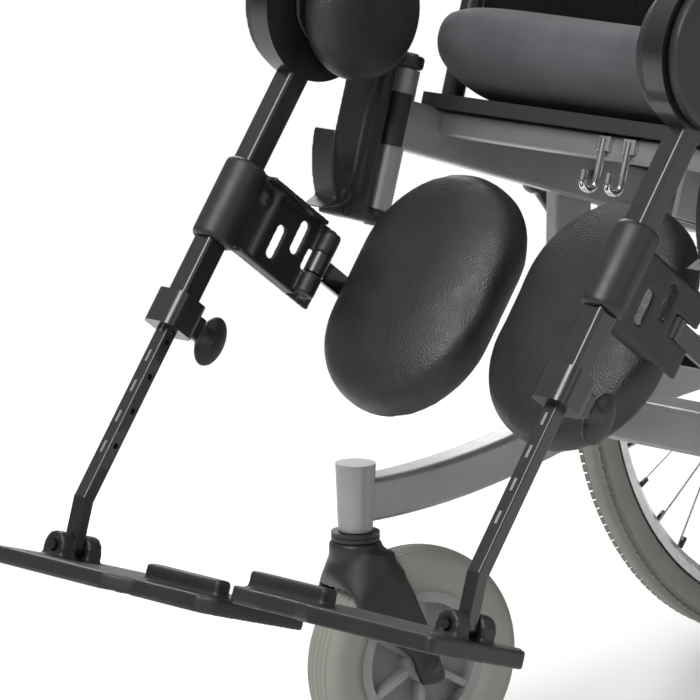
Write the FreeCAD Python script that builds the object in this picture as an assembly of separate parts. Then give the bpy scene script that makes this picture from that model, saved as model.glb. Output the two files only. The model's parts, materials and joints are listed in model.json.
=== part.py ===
"""Tilting and reclining wheelchair with swing-away elevating legrests, built as separate pieces.

Millimetres. The chair faces -Y, +X is the user's left and the floor is Z = 0.
The rest pose has the seat tilted back and both legrests at their lowest angle.
"""
import FreeCAD
import Part
import math
import os

V = FreeCAD.Vector
os.makedirs("parts", exist_ok=True)

# Clearances between pieces
MESH_TOL = 0.2             # mesh tolerance of the overall length's measurement
RUN = 0.05                 # radial running clearance of a pin in its bore
SEAT_GAP = 0.1             # gap of a piece pushed over a tube
GAP = 0.4                  # gap between faces of pieces that move past each other

# Wheels
WHEELBASE = 665.0          # caster stem to rear axle
REAR_R = 305.0             # rear wheel radius over the tyre
REAR_X = 308.0             # rear wheel centre plane
TYRE_R = 18.0              # section radius of the rear tyre
RIM_DEPTH = 16.0
RIM_WIDTH = 24.0
HUB_R = 24.0
HUB_LEN = 62.0
SPOKES = 36
SPOKE_R = 1.0
HANDRIM_R = 262.0
HANDRIM_TUBE_R = 9.0
HANDRIM_STAND = 38.0       # hand rim centre outboard of the wheel's centre plane
HANDRIM_TABS = 6
AXLE_R = 6.35
CASTER_R = 100.0
CASTER_WIDTH = 46.0
CASTER_TRAIL = 58.0
CASTER_TURN = 12.0         # how far the casters stand turned at rest, in degrees
CASTER_RIM_R = 62.0
CASTER_HUB_R = 17.0
CASTER_AXLE_R = 4.0

# Base
HEAD_X = 233.0             # caster stem and base rail plane
HEAD_TOP = 280.0
HEAD_BOTTOM = 221.0
HEAD_R_TOP = 17.5
HEAD_R_BOTTOM = 15.0
STEM_R = 8.0
BASE_RAIL_W = 28.0
BASE_RAIL_H = 38.0
BASE_RAIL_Z = 248.0        # rail centre height at the caster head
BASE_RAIL_RISE = 57.0      # how far the rail has climbed at the rear axle
BEAM_Y = 300.0
BEAM_SIZE = 40.0
REAR_TUBE_R = 15.0
AXLE_PLATE_T = 10.0
SPARE_HOLE_R = 6.5
SPARE_HOLE_PITCH = 36.0
UPRIGHT_W = 14.0
UPRIGHT_DEPTH = 46.0

# Seat unit, in its own tilted frame: u runs back along the seat, w up from it
TILT = 17.04               # seat tilt at rest, in degrees
SEAT_ORIGIN = V(0, 28.0, 572.4)
RAIL_X = 214.0
RAIL_W = 22.0
RAIL_H = 42.0
RAIL_END = 470.0
PIVOT_U = 250.0            # tilt pivot along the rail
PIVOT_R = 8.0
POST_R = 12.0
POST_TOP = 46.0
POST_BOTTOM = -75.0
PIN_R = 8.0
POST_PIN_LEN = 14.0
SLEEVE_TOP = 25.0
SLEEVE_BOTTOM = -20.0
SLEEVE_WALL = 2.0
BAR_U = 54.0               # front cross bar
BAR_W = 10.0
BAR_SIZE = 20.0
HOOK_X = 14.0
REAR_BAR_U = 455.0
BOARD_T = 12.0
BOARD_FRONT = 32.0
BOARD_BACK = 384.0
CUSHION_T = 86.0
CUSHION_FRONT = -6.0
CUSHION_BACK = 420.0
CUSHION_HALF_W = 209.0
CUSHION_CROWN = 9.0
CUSHION_DRAW = 5.0

# Backrest
RECLINE_U = 436.0          # recline pivot in the seat frame
RECLINE_W = 46.0
RECLINE_LEAN = 10.0        # backrest lean behind the seat's normal at rest, in degrees
BACK_TUBE_R = 11.0
BACK_X = 180.0
BACK_LEN = 590.0
BACK_CUSHION_T = 62.0
BACK_CUSHION_HALF_W = 182.0
HANDLE_REACH = 118.0
GRIP_R = 15.0
GRIP_LEN = 96.0
HEAD_STEM_R = 8.0
HEADREST_W = 270.0
HEADREST_H = 150.0
HEADREST_T = 70.0

# Legrests, in the leg's own frame: n runs back, t runs up the tube, from the calf sleeve's centre
LEG_X = 217.0
LEG_ANGLE = 19.0           # leg tube from the seat's normal at rest, in degrees
SLEEVE_U = -166.5
SLEEVE_W = -100.7
KNEE_N = -12.5
KNEE_T = 186.0
KNEE_R = 66.0
KNEE_T_DISC = 20.0
KNEE_PAD_R = 60.0
KNEE_PAD_T = 42.0
KNEE_PAD_BACK = 22.0       # knee pad's centre behind the knee pivot
LEG_TUBE_X = 20.0
LEG_TUBE_N = 22.0
EXT_X = 13.0
EXT_N = 12.0
CALF_SLEEVE_LEN = 74.0
CALF_SLEEVE_R = 18.0
COLLAR_T = -104.0
COLLAR_LEN = 30.0
COLLAR_R = 17.0
EXT_BEND_T = -276.0
FOOT_DROP = 40.0           # straight end of the extension tube below its bend
LEFT_EXTRA = -14.0         # the left extension tube stands pushed in further
BRACKET_T = 4.0
BRACKET_BACK = 118.0
BARREL_N = 100.0
BARREL_R = 9.0
BARREL_LEN = 58.0
CALF_PAD_N = 96.0          # front face of the calf pad behind the tube's line
CALF_PAD_T = 54.0
CALF_PAD_W = 166.0
CALF_PAD_H = 222.0
CALF_PAD_X = 94.0
CALF_PAD_UP = 2.0
CALF_CROWN = 7.0
CALF_ROLL = 20.0
PLATE_T = 14.0
PLATE_FRONT = 62.0         # footplate ahead of its hinge line
PLATE_BACK = 82.0
PLATE_INNER = 5.0          # inner end of the footplate from the chair's middle
FOOT_PIN_R = 4.0

# Armrests
ARM_X = 243.0
ARM_FRONT = 92.0
ARM_BACK = 402.0
ARM_TOP = 232.0
ARM_PAD_L = 330.0
ARM_PAD_W = 58.0
ARM_PAD_T = 32.0

# Gas springs
TILT_SPRING_X = -60.0
RECLINE_SPRING_X = 60.0
SPRING_R = 11.0
SPRING_ROD_R = 5.0
EYE_R = 11.0
EYE_T = 12.0
EYE_PIN_R = 4.0
EAR_IN = 12.0              # inner face of a spring's ear from the spring's middle
EAR_T = 5.0
EAR_OUT = EAR_IN + EAR_T
EYE_OPEN_R = 10.0          # the open upper eyes leave room round their pins
TILT_CYLINDER_LEN = 118.0
TILT_ROD_LEN = 160.0
RECLINE_CYLINDER_LEN = 140.0
RECLINE_ROD_LEN = 190.0
LEVER_DROP = 84.0          # lower lever of the back frame below the recline pivot

# Brakes
BRAKE_X = 268.0
BRAKE_PIVOT_Y = 326.0
BRAKE_PIVOT_Z = 360.0

AX = V(1, 0, 0)
AY = V(0, 1, 0)
AZ = V(0, 0, 1)
SIDES = (("right", -1), ("left", 1))
NODES = {}


def box(x0, x1, y0, y1, z0, z1):
    low = V(min(x0, x1), min(y0, y1), min(z0, z1))
    return Part.makeBox(abs(x1 - x0), abs(y1 - y0), abs(z1 - z0), low)


def soft_box(x0, x1, y0, y1, z0, z1, radius):
    """Box with every edge rounded."""
    body = box(x0, x1, y0, y1, z0, z1)
    return body.makeFillet(radius, body.Edges)


def rod(start, end, radius):
    return Part.makeCylinder(radius, (end - start).Length, start, end - start)


def tube(start, end, radius, bore):
    along = (end - start).normalize()
    return rod(start, end, radius).cut(rod(start - along, end + along, bore))


def fuse(first, *others):
    return first.multiFuse(list(others)).removeSplitter()


def cut(first, *others):
    for other in others:
        first = first.cut(other)
    return first


def mirror(shape, side):
    """Pieces are drawn for the left side; the right one is the mirror image."""
    return shape if side > 0 else shape.mirror(V(0, 0, 0), AX)


def prism(points, x0, x1):
    """Polygon of (y, z) points, extruded from x0 to x1."""
    wire = Part.makePolygon([V(x0, y, z) for y, z in points + points[:1]])
    return Part.Face(wire).extrude(V(x1 - x0, 0, 0))


def slab(points, z0, z1):
    """Polygon of (x, y) points, extruded from z0 to z1."""
    wire = Part.makePolygon([V(x, y, z0) for x, y in points + points[:1]])
    return Part.Face(wire).extrude(V(0, 0, z1 - z0))


def rounded(shape, radius, direction):
    """Round the edges that run along one direction."""
    picked = []
    for edge in shape.Edges:
        run = edge.Vertexes[-1].Point - edge.Vertexes[0].Point
        if run.Length > 0.01 and abs(run.normalize().dot(direction)) > 0.999:
            picked.append(edge)
    return shape.makeFillet(radius, picked)


def ring(major, minor, centre):
    """Round ring about an X axis."""
    return Part.makeTorus(major, minor, centre, AX)


def lathe(points, centre, axis_dir):
    """Solid turned from (radius, along) points about an axis through centre."""
    wire = Part.makePolygon([V(r, 0, a) for r, a in points + points[:1]])
    body = Part.Face(wire).revolve(V(0, 0, 0), AZ, 360)
    body.Placement = FreeCAD.Placement(centre, FreeCAD.Rotation(AZ, axis_dir))
    return body


def bent_tube(points, radius, bend):
    """Round tube along points, with an arc of one radius at each bend."""
    edges = []
    here = points[0]
    for before, corner, after in zip(points, points[1:], points[2:]):
        into = (corner - before).normalize()
        out = (after - corner).normalize()
        turn = into.getAngle(out)
        back = bend * math.tan(turn / 2)
        start = corner - into * back
        end = corner + out * back
        middle = corner + (out - into).normalize() * bend * (1 / math.cos(turn / 2) - 1)
        edges.append(Part.LineSegment(here, start).toShape())
        edges.append(Part.Arc(start, middle, end).toShape())
        here = end
    edges.append(Part.LineSegment(here, points[-1]).toShape())
    path = Part.Wire(edges)
    circle = Part.Wire(Part.Circle(points[0], points[1] - points[0], radius).toShape())
    return path.makePipeShell([circle], True, False)


def stadium(width, height, x, y, z):
    """Wire with round ends in an XZ plane, long axis along Z."""
    half = width / 2
    up = height / 2 - half
    top = Part.Arc(V(x + half, y, z + up), V(x, y, z + up + half), V(x - half, y, z + up))
    bottom = Part.Arc(V(x - half, y, z - up), V(x, y, z - up - half), V(x + half, y, z - up))
    left = Part.LineSegment(V(x - half, y, z + up), V(x - half, y, z - up))
    right = Part.LineSegment(V(x + half, y, z - up), V(x + half, y, z + up))
    return Part.Wire([top.toShape(), left.toShape(), bottom.toShape(), right.toShape()])


def crowned(half_w, y0, y1, z0, height, crown, draw, corner):
    """Cushion: sides drawn in between rounded corners, rolled edges and a crowned top. Thickness along Z."""
    roll = min(corner, half_w * 0.5)

    def outline(inset, z):
        xs = half_w - inset
        ya, yb = y0 + inset, y1 - inset
        r = min(corner, xs * 0.7)
        mid = (ya + yb) / 2
        tuck = r * (1 - math.sqrt(0.5))
        knots = [(xs - r, ya), (xs, ya + r), (xs, yb - r), (xs - r, yb)]
        knots += [(r - xs, yb), (-xs, yb - r), (-xs, ya + r), (r - xs, ya)]
        vias = [(xs - tuck, ya + tuck), (xs - draw, mid), (xs - tuck, yb - tuck), (0, yb - draw)]
        vias += [(tuck - xs, yb - tuck), (draw - xs, mid), (tuck - xs, ya + tuck), (0, ya + draw)]
        edges = []
        for start, via, end in zip(knots, vias, knots[1:] + knots[:1]):
            edges.append(Part.Arc(V(*start, z), V(*via, z), V(*end, z)).toShape())
        return Part.Wire(edges)

    wires = [outline(inset, z0 + rise) for inset,
             rise in rolled_section(height, crown, roll, min(half_w, (y1 - y0) / 2) * 0.62)]
    return Part.makeLoft(wires, True, True)


def rolled_section(height, crown, roll, inner):
    """Inset and rise from the back face up: rolled lower edge, side, rolled upper edge, soft crown."""
    side_top = height - crown
    upper = min(roll, side_top * 0.5)
    lower = min(roll * 0.6, side_top * 0.3)
    turns = [math.radians(a) for a in (0, 30, 60, 90)]
    steps = [(lower * (1 - math.sin(a)), lower * (1 - math.cos(a))) for a in turns]
    steps += [(upper * (1 - math.cos(a)), side_top - upper * (1 - math.sin(a))) for a in turns]
    for share in (0.35, 0.7, 1.0):
        steps.append((upper + (inner - upper) * share, side_top + crown * math.sin(share * math.pi / 2)))
    return steps


def on_frame(shape, place):
    return shape.transformed(place.toMatrix(), True)


SEAT_TURN = FreeCAD.Rotation(AX, -TILT)
SEAT = FreeCAD.Placement(SEAT_ORIGIN, SEAT_TURN)
LEG = FreeCAD.Placement(SEAT.multVec(V(0, SLEEVE_U, SLEEVE_W)), FreeCAD.Rotation(AX, -TILT - LEG_ANGLE))
BACK = FreeCAD.Placement(SEAT.multVec(V(0, RECLINE_U, RECLINE_W)),
                         FreeCAD.Rotation(AX, -TILT - RECLINE_LEAN))

# Base: caster heads, side rails, cross beam, uprights, axle plates
RAIL_IN = HEAD_X - BASE_RAIL_W / 2
RAIL_OUT = HEAD_X + BASE_RAIL_W / 2
AXLE_Z = REAR_R
RAIL_BACK = WHEELBASE + 66.0
PIVOT = SEAT.multVec(V(0, PIVOT_U, 0))
UPRIGHT_IN = RAIL_X + RAIL_W / 2 + 4.0
UPRIGHT_OUT = UPRIGHT_IN + UPRIGHT_W
AXLE_PLATE_OUT = RAIL_OUT + AXLE_PLATE_T


def rail_height(y):
    """Centre height of the side rail: level at the caster, climbing in a soft S to the axle."""
    share = min(max((y - 60.0) / (0.62 * WHEELBASE), 0.0), 1.0)
    return BASE_RAIL_Z + BASE_RAIL_RISE * share * share * (3 - 2 * share)


def rail_edge(offset):
    stations = [0.0, 0.1, 0.22, 0.36, 0.5, 0.66, 0.85, 1.0]
    ys = [RAIL_BACK * s for s in stations]
    curve = Part.BSplineCurve()
    curve.interpolate([V(RAIL_IN, y, rail_height(y) + offset) for y in ys])
    return curve


def base_side():
    top = rail_edge(BASE_RAIL_H / 2)
    bottom = rail_edge(-BASE_RAIL_H / 2)
    front = Part.LineSegment(bottom.StartPoint, top.StartPoint)
    back = Part.LineSegment(top.EndPoint, bottom.EndPoint)
    wire = Part.Wire([front.toShape(), top.toShape(), back.toShape(), bottom.toShape()])
    rail = Part.Face(wire).extrude(V(BASE_RAIL_W, 0, 0))
    long_edges = [e for e in rail.Edges if e.Length > RAIL_BACK * 0.9]
    rail = rail.makeFillet(5.0, long_edges)
    head = Part.makeCone(HEAD_R_BOTTOM, HEAD_R_TOP, HEAD_TOP - HEAD_BOTTOM, V(HEAD_X, 0, HEAD_BOTTOM))
    stem_bore = rod(V(HEAD_X, 0, HEAD_BOTTOM - 1), V(HEAD_X, 0, HEAD_TOP - 6.0), STEM_R + RUN)
    side = fuse(rail, head).cut(stem_bore)
    return side.cut(axle_hole())


def axle_hole():
    return rod(V(RAIL_IN - 1, WHEELBASE, AXLE_Z), V(AXLE_PLATE_OUT + 1, WHEELBASE, AXLE_Z), AXLE_R)


def upright():
    foot = rail_height(PIVOT.y) + BASE_RAIL_H / 2
    half = UPRIGHT_DEPTH / 2
    post = box(UPRIGHT_IN, UPRIGHT_OUT, PIVOT.y - half, PIVOT.y + half, foot - 20.0, PIVOT.z)
    post = rounded(post, 3.0, AZ)
    eye = rod(V(UPRIGHT_IN, PIVOT.y, PIVOT.z), V(UPRIGHT_OUT, PIVOT.y, PIVOT.z), half)
    rail_space = base_rail_space()
    pin = rod(V(UPRIGHT_OUT, PIVOT.y, PIVOT.z), V(RAIL_X - RAIL_W / 2 - 3.0, PIVOT.y, PIVOT.z), PIVOT_R)
    flange = rod(V(UPRIGHT_IN, PIVOT.y, PIVOT.z), V(UPRIGHT_IN - 4.0 + GAP, PIVOT.y, PIVOT.z),
                 PIVOT_R + 6.0)
    cap = rod(V(UPRIGHT_OUT, PIVOT.y, PIVOT.z), V(UPRIGHT_OUT + 4.0, PIVOT.y, PIVOT.z), PIVOT_R + 5.0)
    return fuse(post.cut(rail_space), eye, pin, flange, cap)


def base_rail_space():
    """The room that the side rail takes where an upright stands on it."""
    half = UPRIGHT_DEPTH / 2 + 1
    ys = [PIVOT.y - half, PIVOT.y, PIVOT.y + half]
    top = [(y, rail_height(y) + BASE_RAIL_H / 2) for y in ys]
    return prism(top + [(ys[2], 0.0), (ys[0], 0.0)], RAIL_IN - 1, RAIL_OUT + 1)


def axle_plate():
    half = SPARE_HOLE_PITCH + 16.0
    plate = box(RAIL_OUT, AXLE_PLATE_OUT, WHEELBASE - 40.0, WHEELBASE + 40.0, AXLE_Z - half, AXLE_Z + half)
    plate = rounded(plate, 12.0, AX)
    holes = [rod(V(RAIL_OUT - 1, WHEELBASE, AXLE_Z + k * SPARE_HOLE_PITCH),
                 V(AXLE_PLATE_OUT + 1, WHEELBASE,
                   AXLE_Z + k * SPARE_HOLE_PITCH), SPARE_HOLE_R) for k in (-1, 1)]
    return cut(plate, axle_hole(), *holes)


def rear_axle():
    shaft = rod(V(RAIL_IN, WHEELBASE, AXLE_Z), V(REAR_X + HUB_LEN / 2 + 3.0, WHEELBASE, AXLE_Z), AXLE_R)
    button = rod(V(REAR_X + HUB_LEN / 2 + GAP, WHEELBASE, AXLE_Z), V(REAR_X + HUB_LEN / 2 + 8.0,
                                                                     WHEELBASE, AXLE_Z), 10.0)
    return fuse(shaft, button)


def cross_beam():
    half = BEAM_SIZE / 2
    z = rail_height(BEAM_Y)
    beam = box(-RAIL_IN, RAIL_IN, BEAM_Y - half, BEAM_Y + half, z - half, z + half)
    beam = rounded(beam, 5.0, AX)
    ears = [box(x, x + 5.0, BEAM_Y - 16.0, BEAM_Y + 16.0, z + half - 1.0, z + half + 30.0)
            for x in (TILT_SPRING_X - EAR_OUT, TILT_SPRING_X + EAR_IN)]
    eye = tilt_foot()
    pin = rod(V(TILT_SPRING_X - EAR_OUT, eye.y, eye.z), V(TILT_SPRING_X + EAR_OUT, eye.y, eye.z), EYE_PIN_R)
    return fuse(beam, *ears, pin)


def tilt_foot():
    return V(TILT_SPRING_X, BEAM_Y, rail_height(BEAM_Y) + BEAM_SIZE / 2 + 18.0)


def rear_tube():
    y = WHEELBASE + 34.0
    z = rail_height(y)
    return rod(V(-RAIL_IN, y, z), V(RAIL_IN, y, z), REAR_TUBE_R)


def anti_tipper():
    """Bent tube from the end of the side rail, with a small roller at its tip."""
    z = rail_height(RAIL_BACK)
    start = V(HEAD_X, RAIL_BACK, z)
    arm = bent_tube([start, V(HEAD_X, RAIL_BACK + 70.0, z), V(HEAD_X, RAIL_BACK + 150.0, z - 150.0)],
                    10.0, 45.0)
    tip = V(HEAD_X, RAIL_BACK + 150.0, z - 150.0)
    fork = rod(V(HEAD_X - 10.6, tip.y, tip.z), V(HEAD_X + 10.6, tip.y, tip.z), 13.0)
    roller_pin = rod(V(HEAD_X - 22.0, tip.y, tip.z), V(HEAD_X + 22.0, tip.y, tip.z), 5.0)
    rollers = [tube(V(HEAD_X + s * 11.0, tip.y, tip.z), V(HEAD_X + s * 25.0, tip.y, tip.z), 27.0,
                    5.0 + RUN) for s in (-1, 1)]
    return [fuse(arm, fork, roller_pin)] + rollers


# Rear wheels, drawn about their own axle on the left side
def wheel_centre():
    return V(REAR_X, WHEELBASE, AXLE_Z)


def rear_tyre():
    seat_r = REAR_R - 2 * TYRE_R + 4.0
    centre = wheel_centre()
    body = ring(REAR_R - TYRE_R, TYRE_R, centre)
    inner = rod(centre - AX * TYRE_R * 2, centre + AX * TYRE_R * 2, seat_r)
    return body.cut(inner)


def rear_rim():
    outer = REAR_R - 2 * TYRE_R + 4.0
    half = RIM_WIDTH / 2
    profile = [(outer, -half), (outer, half), (outer - RIM_DEPTH * 0.5, half),
               (outer - RIM_DEPTH, half * 0.35),
               (outer - RIM_DEPTH, -half * 0.35), (outer - RIM_DEPTH * 0.5, -half)]
    rim = lathe(profile, wheel_centre(), AX)
    flange = 2.0
    hub_half = HUB_LEN / 2
    hub = lathe([(AXLE_R + RUN, -hub_half), (HUB_R * 0.7, -hub_half), (HUB_R, -hub_half + 6.0),
                 (HUB_R, -hub_half + 6.0 + flange * 2), (HUB_R * 0.62, -hub_half + 16.0),
                 (HUB_R * 0.62, hub_half - 16.0), (HUB_R,
                                                   hub_half - 6.0 - flange * 2), (HUB_R, hub_half - 6.0),
                 (HUB_R * 0.7, hub_half), (AXLE_R + RUN, hub_half)], wheel_centre(), AX)
    spokes = []
    for k in range(SPOKES):
        angle = 2 * math.pi * k / SPOKES
        lean = math.radians(55.0) * (1 if k % 4 < 2 else -1)
        side = 1 if k % 2 else -1
        c = wheel_centre()
        inner = c + V(side * (hub_half - 8.0), math.cos(angle + lean) * (HUB_R - 3.0),
                      math.sin(angle + lean) * (HUB_R - 3.0))
        reach = outer - RIM_DEPTH + 2.0
        end = c + V(side * 2.0, math.cos(angle) * reach, math.sin(angle) * reach)
        spokes.append(rod(inner, end, SPOKE_R))
    return fuse(rim, hub, *spokes)


def handrim():
    """Ring with short tabs that reach in to the rim."""
    centre = wheel_centre() + AX * HANDRIM_STAND
    outer = REAR_R - 2 * TYRE_R + 4.0
    tabs = []
    for k in range(HANDRIM_TABS):
        angle = 2 * math.pi * (k + 0.5) / HANDRIM_TABS
        way = V(0, math.cos(angle), math.sin(angle))
        root = wheel_centre() + way * (outer - RIM_DEPTH * 0.55) + AX * (RIM_WIDTH / 2 - 2.0)
        tabs.append(rod(root, centre + way * HANDRIM_R, 5.0))
    body = fuse(ring(HANDRIM_R, HANDRIM_TUBE_R, centre), *tabs)
    return body.cut(rim_space())


def rim_space():
    half = RIM_WIDTH / 2
    outer = REAR_R - 2 * TYRE_R + 4.0
    profile = [(outer - RIM_DEPTH - 3.0, -half), (outer, -half), (outer, half),
               (outer - RIM_DEPTH * 0.5, half),
               (outer - RIM_DEPTH, half * 0.35), (outer - RIM_DEPTH - 3.0, half * 0.35)]
    return lathe(profile, wheel_centre(), AX)


# Casters, drawn trailing straight back from the stem and then turned about it
FORK_TOP = HEAD_BOTTOM - 8.0
FORK_ARM_T = 9.0
FORK_ARM_IN = CASTER_WIDTH / 2 + 3.0
SEAL_R = 22.0


def caster_axle_point():
    return V(HEAD_X, CASTER_TRAIL, CASTER_R)


def caster_fork():
    """Crown under the head tube and two arms that sweep back to the axle."""
    axle = caster_axle_point()
    crown_low = CASTER_R + math.sqrt(CASTER_R ** 2 - CASTER_TRAIL ** 2) + 6.0
    crown_low = min(crown_low + 10.0, FORK_TOP - 16.0)
    outer = FORK_ARM_IN + FORK_ARM_T
    crown = rod(V(HEAD_X, 0, crown_low), V(HEAD_X, 0, FORK_TOP), SEAL_R + 1.0)
    side_view = [(-23.0, FORK_TOP - 8.0), (-27.0, crown_low - 12.0), (-14.0, crown_low - 44.0),
                 (axle.y - 19.0, axle.z + 8.0), (axle.y - 10.0,
                                                 axle.z - 17.0), (axle.y + 10.0, axle.z - 17.0),
                 (axle.y + 21.0, axle.z + 4.0), (axle.y + 13.0, axle.z + 52.0), (38.0, crown_low - 4.0),
                 (23.0, FORK_TOP - 8.0)]
    yoke = prism(side_view, HEAD_X - outer, HEAD_X + outer)
    wheel_room = rod(V(HEAD_X - FORK_ARM_IN, axle.y, axle.z), V(HEAD_X + FORK_ARM_IN, axle.y, axle.z),
                     CASTER_R + 6.0)
    shoulder = Part.makeCone(outer + 44.0, SEAL_R + 4.0, FORK_TOP - axle.z + 34.0,
                             V(HEAD_X, 10.0, axle.z - 34.0))
    yoke = yoke.common(shoulder)
    stem = rod(V(HEAD_X, 0, FORK_TOP - 1), V(HEAD_X, 0, HEAD_TOP - 8.0), STEM_R)
    bolt = rod(V(HEAD_X - outer - 4.0, axle.y, axle.z), V(HEAD_X + outer + 4.0, axle.y, axle.z),
               CASTER_AXLE_R)
    return fuse(fuse(crown, yoke).cut(wheel_room), stem, bolt)


def caster_seals():
    """Two seal rings between the fork's crown and the head tube."""
    rings = []
    for low in (FORK_TOP, FORK_TOP + 4.0):
        rings.append(tube(V(HEAD_X, 0, low), V(HEAD_X, 0, low + 3.4), SEAL_R - 1.0, STEM_R + RUN))
    return rings


def caster_tyre():
    axle = caster_axle_point()
    half = CASTER_WIDTH / 2
    groove = 1.6
    profile = [(CASTER_RIM_R, -half * 0.8), (CASTER_RIM_R + 10.0, -half), (CASTER_R - 14.0, -half),
               (CASTER_R - 4.0, -half * 0.74)]
    for k in (-0.5, -0.17, 0.17, 0.5):
        profile += [(CASTER_R - abs(k) * 3.0, half * (k - 0.11)), (CASTER_R - groove - abs(k) * 3.0,
                                                                   half * (k - 0.06)),
                    (CASTER_R - groove - abs(k) * 3.0,
                     half * (k + 0.06)), (CASTER_R - abs(k) * 3.0, half * (k + 0.11))]
    profile[-8:-8] = [(CASTER_R, 0.0)]
    profile += [(CASTER_R - 4.0, half * 0.74), (CASTER_R - 14.0, half), (CASTER_RIM_R + 10.0, half),
                (CASTER_RIM_R, half * 0.8)]
    return lathe(profile, axle, AX)


def caster_rim():
    axle = caster_axle_point()
    half = CASTER_WIDTH / 2
    barrel = lathe([(CASTER_RIM_R - 9.0, -half * 0.8), (CASTER_RIM_R, -half * 0.8),
                    (CASTER_RIM_R, half * 0.8),
                    (CASTER_RIM_R - 9.0, half * 0.8)], axle, AX)
    hub = tube(axle - AX * half, axle + AX * half, CASTER_HUB_R, CASTER_AXLE_R + RUN)
    web = tube(axle - AX * 4.0, axle + AX * 4.0, CASTER_RIM_R - 8.0, CASTER_HUB_R - 1.0)
    ribs = []
    for k in range(6):
        turn = FreeCAD.Placement(axle, FreeCAD.Rotation(AX, 60.0 * k))
        ribs.append(on_frame(box(-half * 0.7, half * 0.7, -3.0, 3.0, CASTER_HUB_R - 2.0,
                                 CASTER_RIM_R - 7.0), turn))
    return fuse(barrel, hub, web, *ribs)


def turned_caster(shape):
    """Turn a caster piece about its stem to the rest angle."""
    place = FreeCAD.Placement(V(HEAD_X, 0, 0), FreeCAD.Rotation(AZ, CASTER_TURN))
    moved = shape.translated(V(-HEAD_X, 0, 0))
    return on_frame(moved, place)


# Seat unit, drawn in the seat's own frame
RAIL_IN_X = RAIL_X - RAIL_W / 2
RAIL_OUT_X = RAIL_X + RAIL_W / 2
BOARD_LOW = RAIL_H / 2
BOARD_TOP = BOARD_LOW + BOARD_T
BAR_HALF = BAR_SIZE / 2


def seat_frame():
    """Two rails with hanger posts, welded to a front and a rear cross bar."""
    pieces = []
    for _, side in SIDES:
        rail = rounded(box(RAIL_IN_X, RAIL_OUT_X, 0.0, RAIL_END, -RAIL_H / 2, RAIL_H / 2), 3.0, AY)
        bore = rod(V(RAIL_IN_X - 1, PIVOT_U, 0), V(RAIL_OUT_X + 1, PIVOT_U, 0), PIVOT_R + RUN)
        post = rod(V(RAIL_X, 0, POST_BOTTOM), V(RAIL_X, 0, POST_TOP), POST_R)
        top_pin = rod(V(RAIL_X, 0, POST_TOP), V(RAIL_X, 0, POST_TOP + POST_PIN_LEN), PIN_R)
        low_pin = rod(V(RAIL_X, 0, POST_BOTTOM), V(RAIL_X, 0, POST_BOTTOM - POST_PIN_LEN), PIN_R)
        ear = box(RAIL_IN_X - 8.0, RAIL_IN_X + 1.0, RECLINE_U - 18.0, RECLINE_U + 18.0, -10.0, RECLINE_W)
        ear = fuse(ear, rod(V(RAIL_IN_X - 8.0, RECLINE_U, RECLINE_W),
                            V(RAIL_IN_X + 1.0, RECLINE_U, RECLINE_W), 18.0))
        pin = rod(V(RAIL_IN_X, RECLINE_U, RECLINE_W), V(BACK_X - BACK_TUBE_R - 2.0, RECLINE_U, RECLINE_W),
                  PIN_R)
        pieces.append(mirror(fuse(fuse(rail, post).cut(bore), top_pin, low_pin, ear, pin), side))
    front = box(-RAIL_IN_X, RAIL_IN_X, BAR_U - BAR_HALF, BAR_U + BAR_HALF, BAR_W - BAR_HALF,
                BAR_W + BAR_HALF)
    front = rounded(front, 2.5, AX)
    rear = box(-RAIL_IN_X, RAIL_IN_X, REAR_BAR_U - BAR_HALF, REAR_BAR_U + BAR_HALF, -BAR_HALF, BAR_HALF)
    ears = [box(x, x + 5.0, REAR_BAR_U - 6.0, tilt_head().y + EYE_R, -EYE_R, EYE_R)
            for x in (TILT_SPRING_X - EAR_OUT, TILT_SPRING_X + EAR_IN)]
    eye = tilt_head()
    tilt_pin = rod(V(TILT_SPRING_X - EAR_OUT, eye.y, eye.z), V(TILT_SPRING_X + EAR_OUT, eye.y, eye.z),
                   EYE_PIN_R)
    hangers = [box(x, x + 5.0, BAR_U - BAR_HALF, BAR_U + 60.0, -38.0, BAR_W) for x in
               (RECLINE_SPRING_X - EAR_OUT, RECLINE_SPRING_X + EAR_IN)]
    foot = recline_foot()
    recline_pin = rod(V(RECLINE_SPRING_X - EAR_OUT, foot.y, foot.z),
                      V(RECLINE_SPRING_X + EAR_OUT, foot.y, foot.z), EYE_PIN_R)
    return fuse(pieces[0], pieces[1], front, rear, *ears, tilt_pin, *hangers, recline_pin)


def tilt_head():
    """Upper end of the tilt spring, in the seat's frame."""
    return V(TILT_SPRING_X, REAR_BAR_U + BAR_HALF + EYE_R + 13.0, 0)


def recline_foot():
    return V(RECLINE_SPRING_X, BAR_U + 50.0, -28.0)


def post_sleeves():
    """Dark plastic half sleeves round the posts, open where the rail is welded on."""
    parts = []
    for _, side in SIDES:
        sleeve = tube(V(RAIL_X, 0, SLEEVE_BOTTOM), V(RAIL_X, 0, SLEEVE_TOP), POST_R + SLEEVE_WALL, POST_R)
        room = box(RAIL_IN_X - 5.0, RAIL_OUT_X + 5.0, 0.0, POST_R * 2, -RAIL_H, RAIL_H)
        parts.append(mirror(sleeve.cut(room), side))
    return Part.makeCompound(parts)


def tie_down_hooks():
    """Chrome hooks, each a bent wire through an oval eye on the front bar."""
    parts = []
    front = BAR_U - BAR_HALF - 3.2
    low = BAR_W - BAR_HALF - 28.0
    for _, side in SIDES:
        wire = bent_tube([V(HOOK_X, front, BAR_W + 6.0), V(HOOK_X, front, low),
                          V(HOOK_X, front - 16.0, low),
                          V(HOOK_X, front - 16.0, low + 15.0)], 3.0, 7.0)
        eye = soft_box(HOOK_X - 7.0, HOOK_X + 7.0, front - 1.0, BAR_U - BAR_HALF, BAR_W - 4.0,
                       BAR_W + 9.0, 1.0)
        parts.append(mirror(fuse(wire, eye), side))
    return Part.makeCompound(parts)


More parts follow.
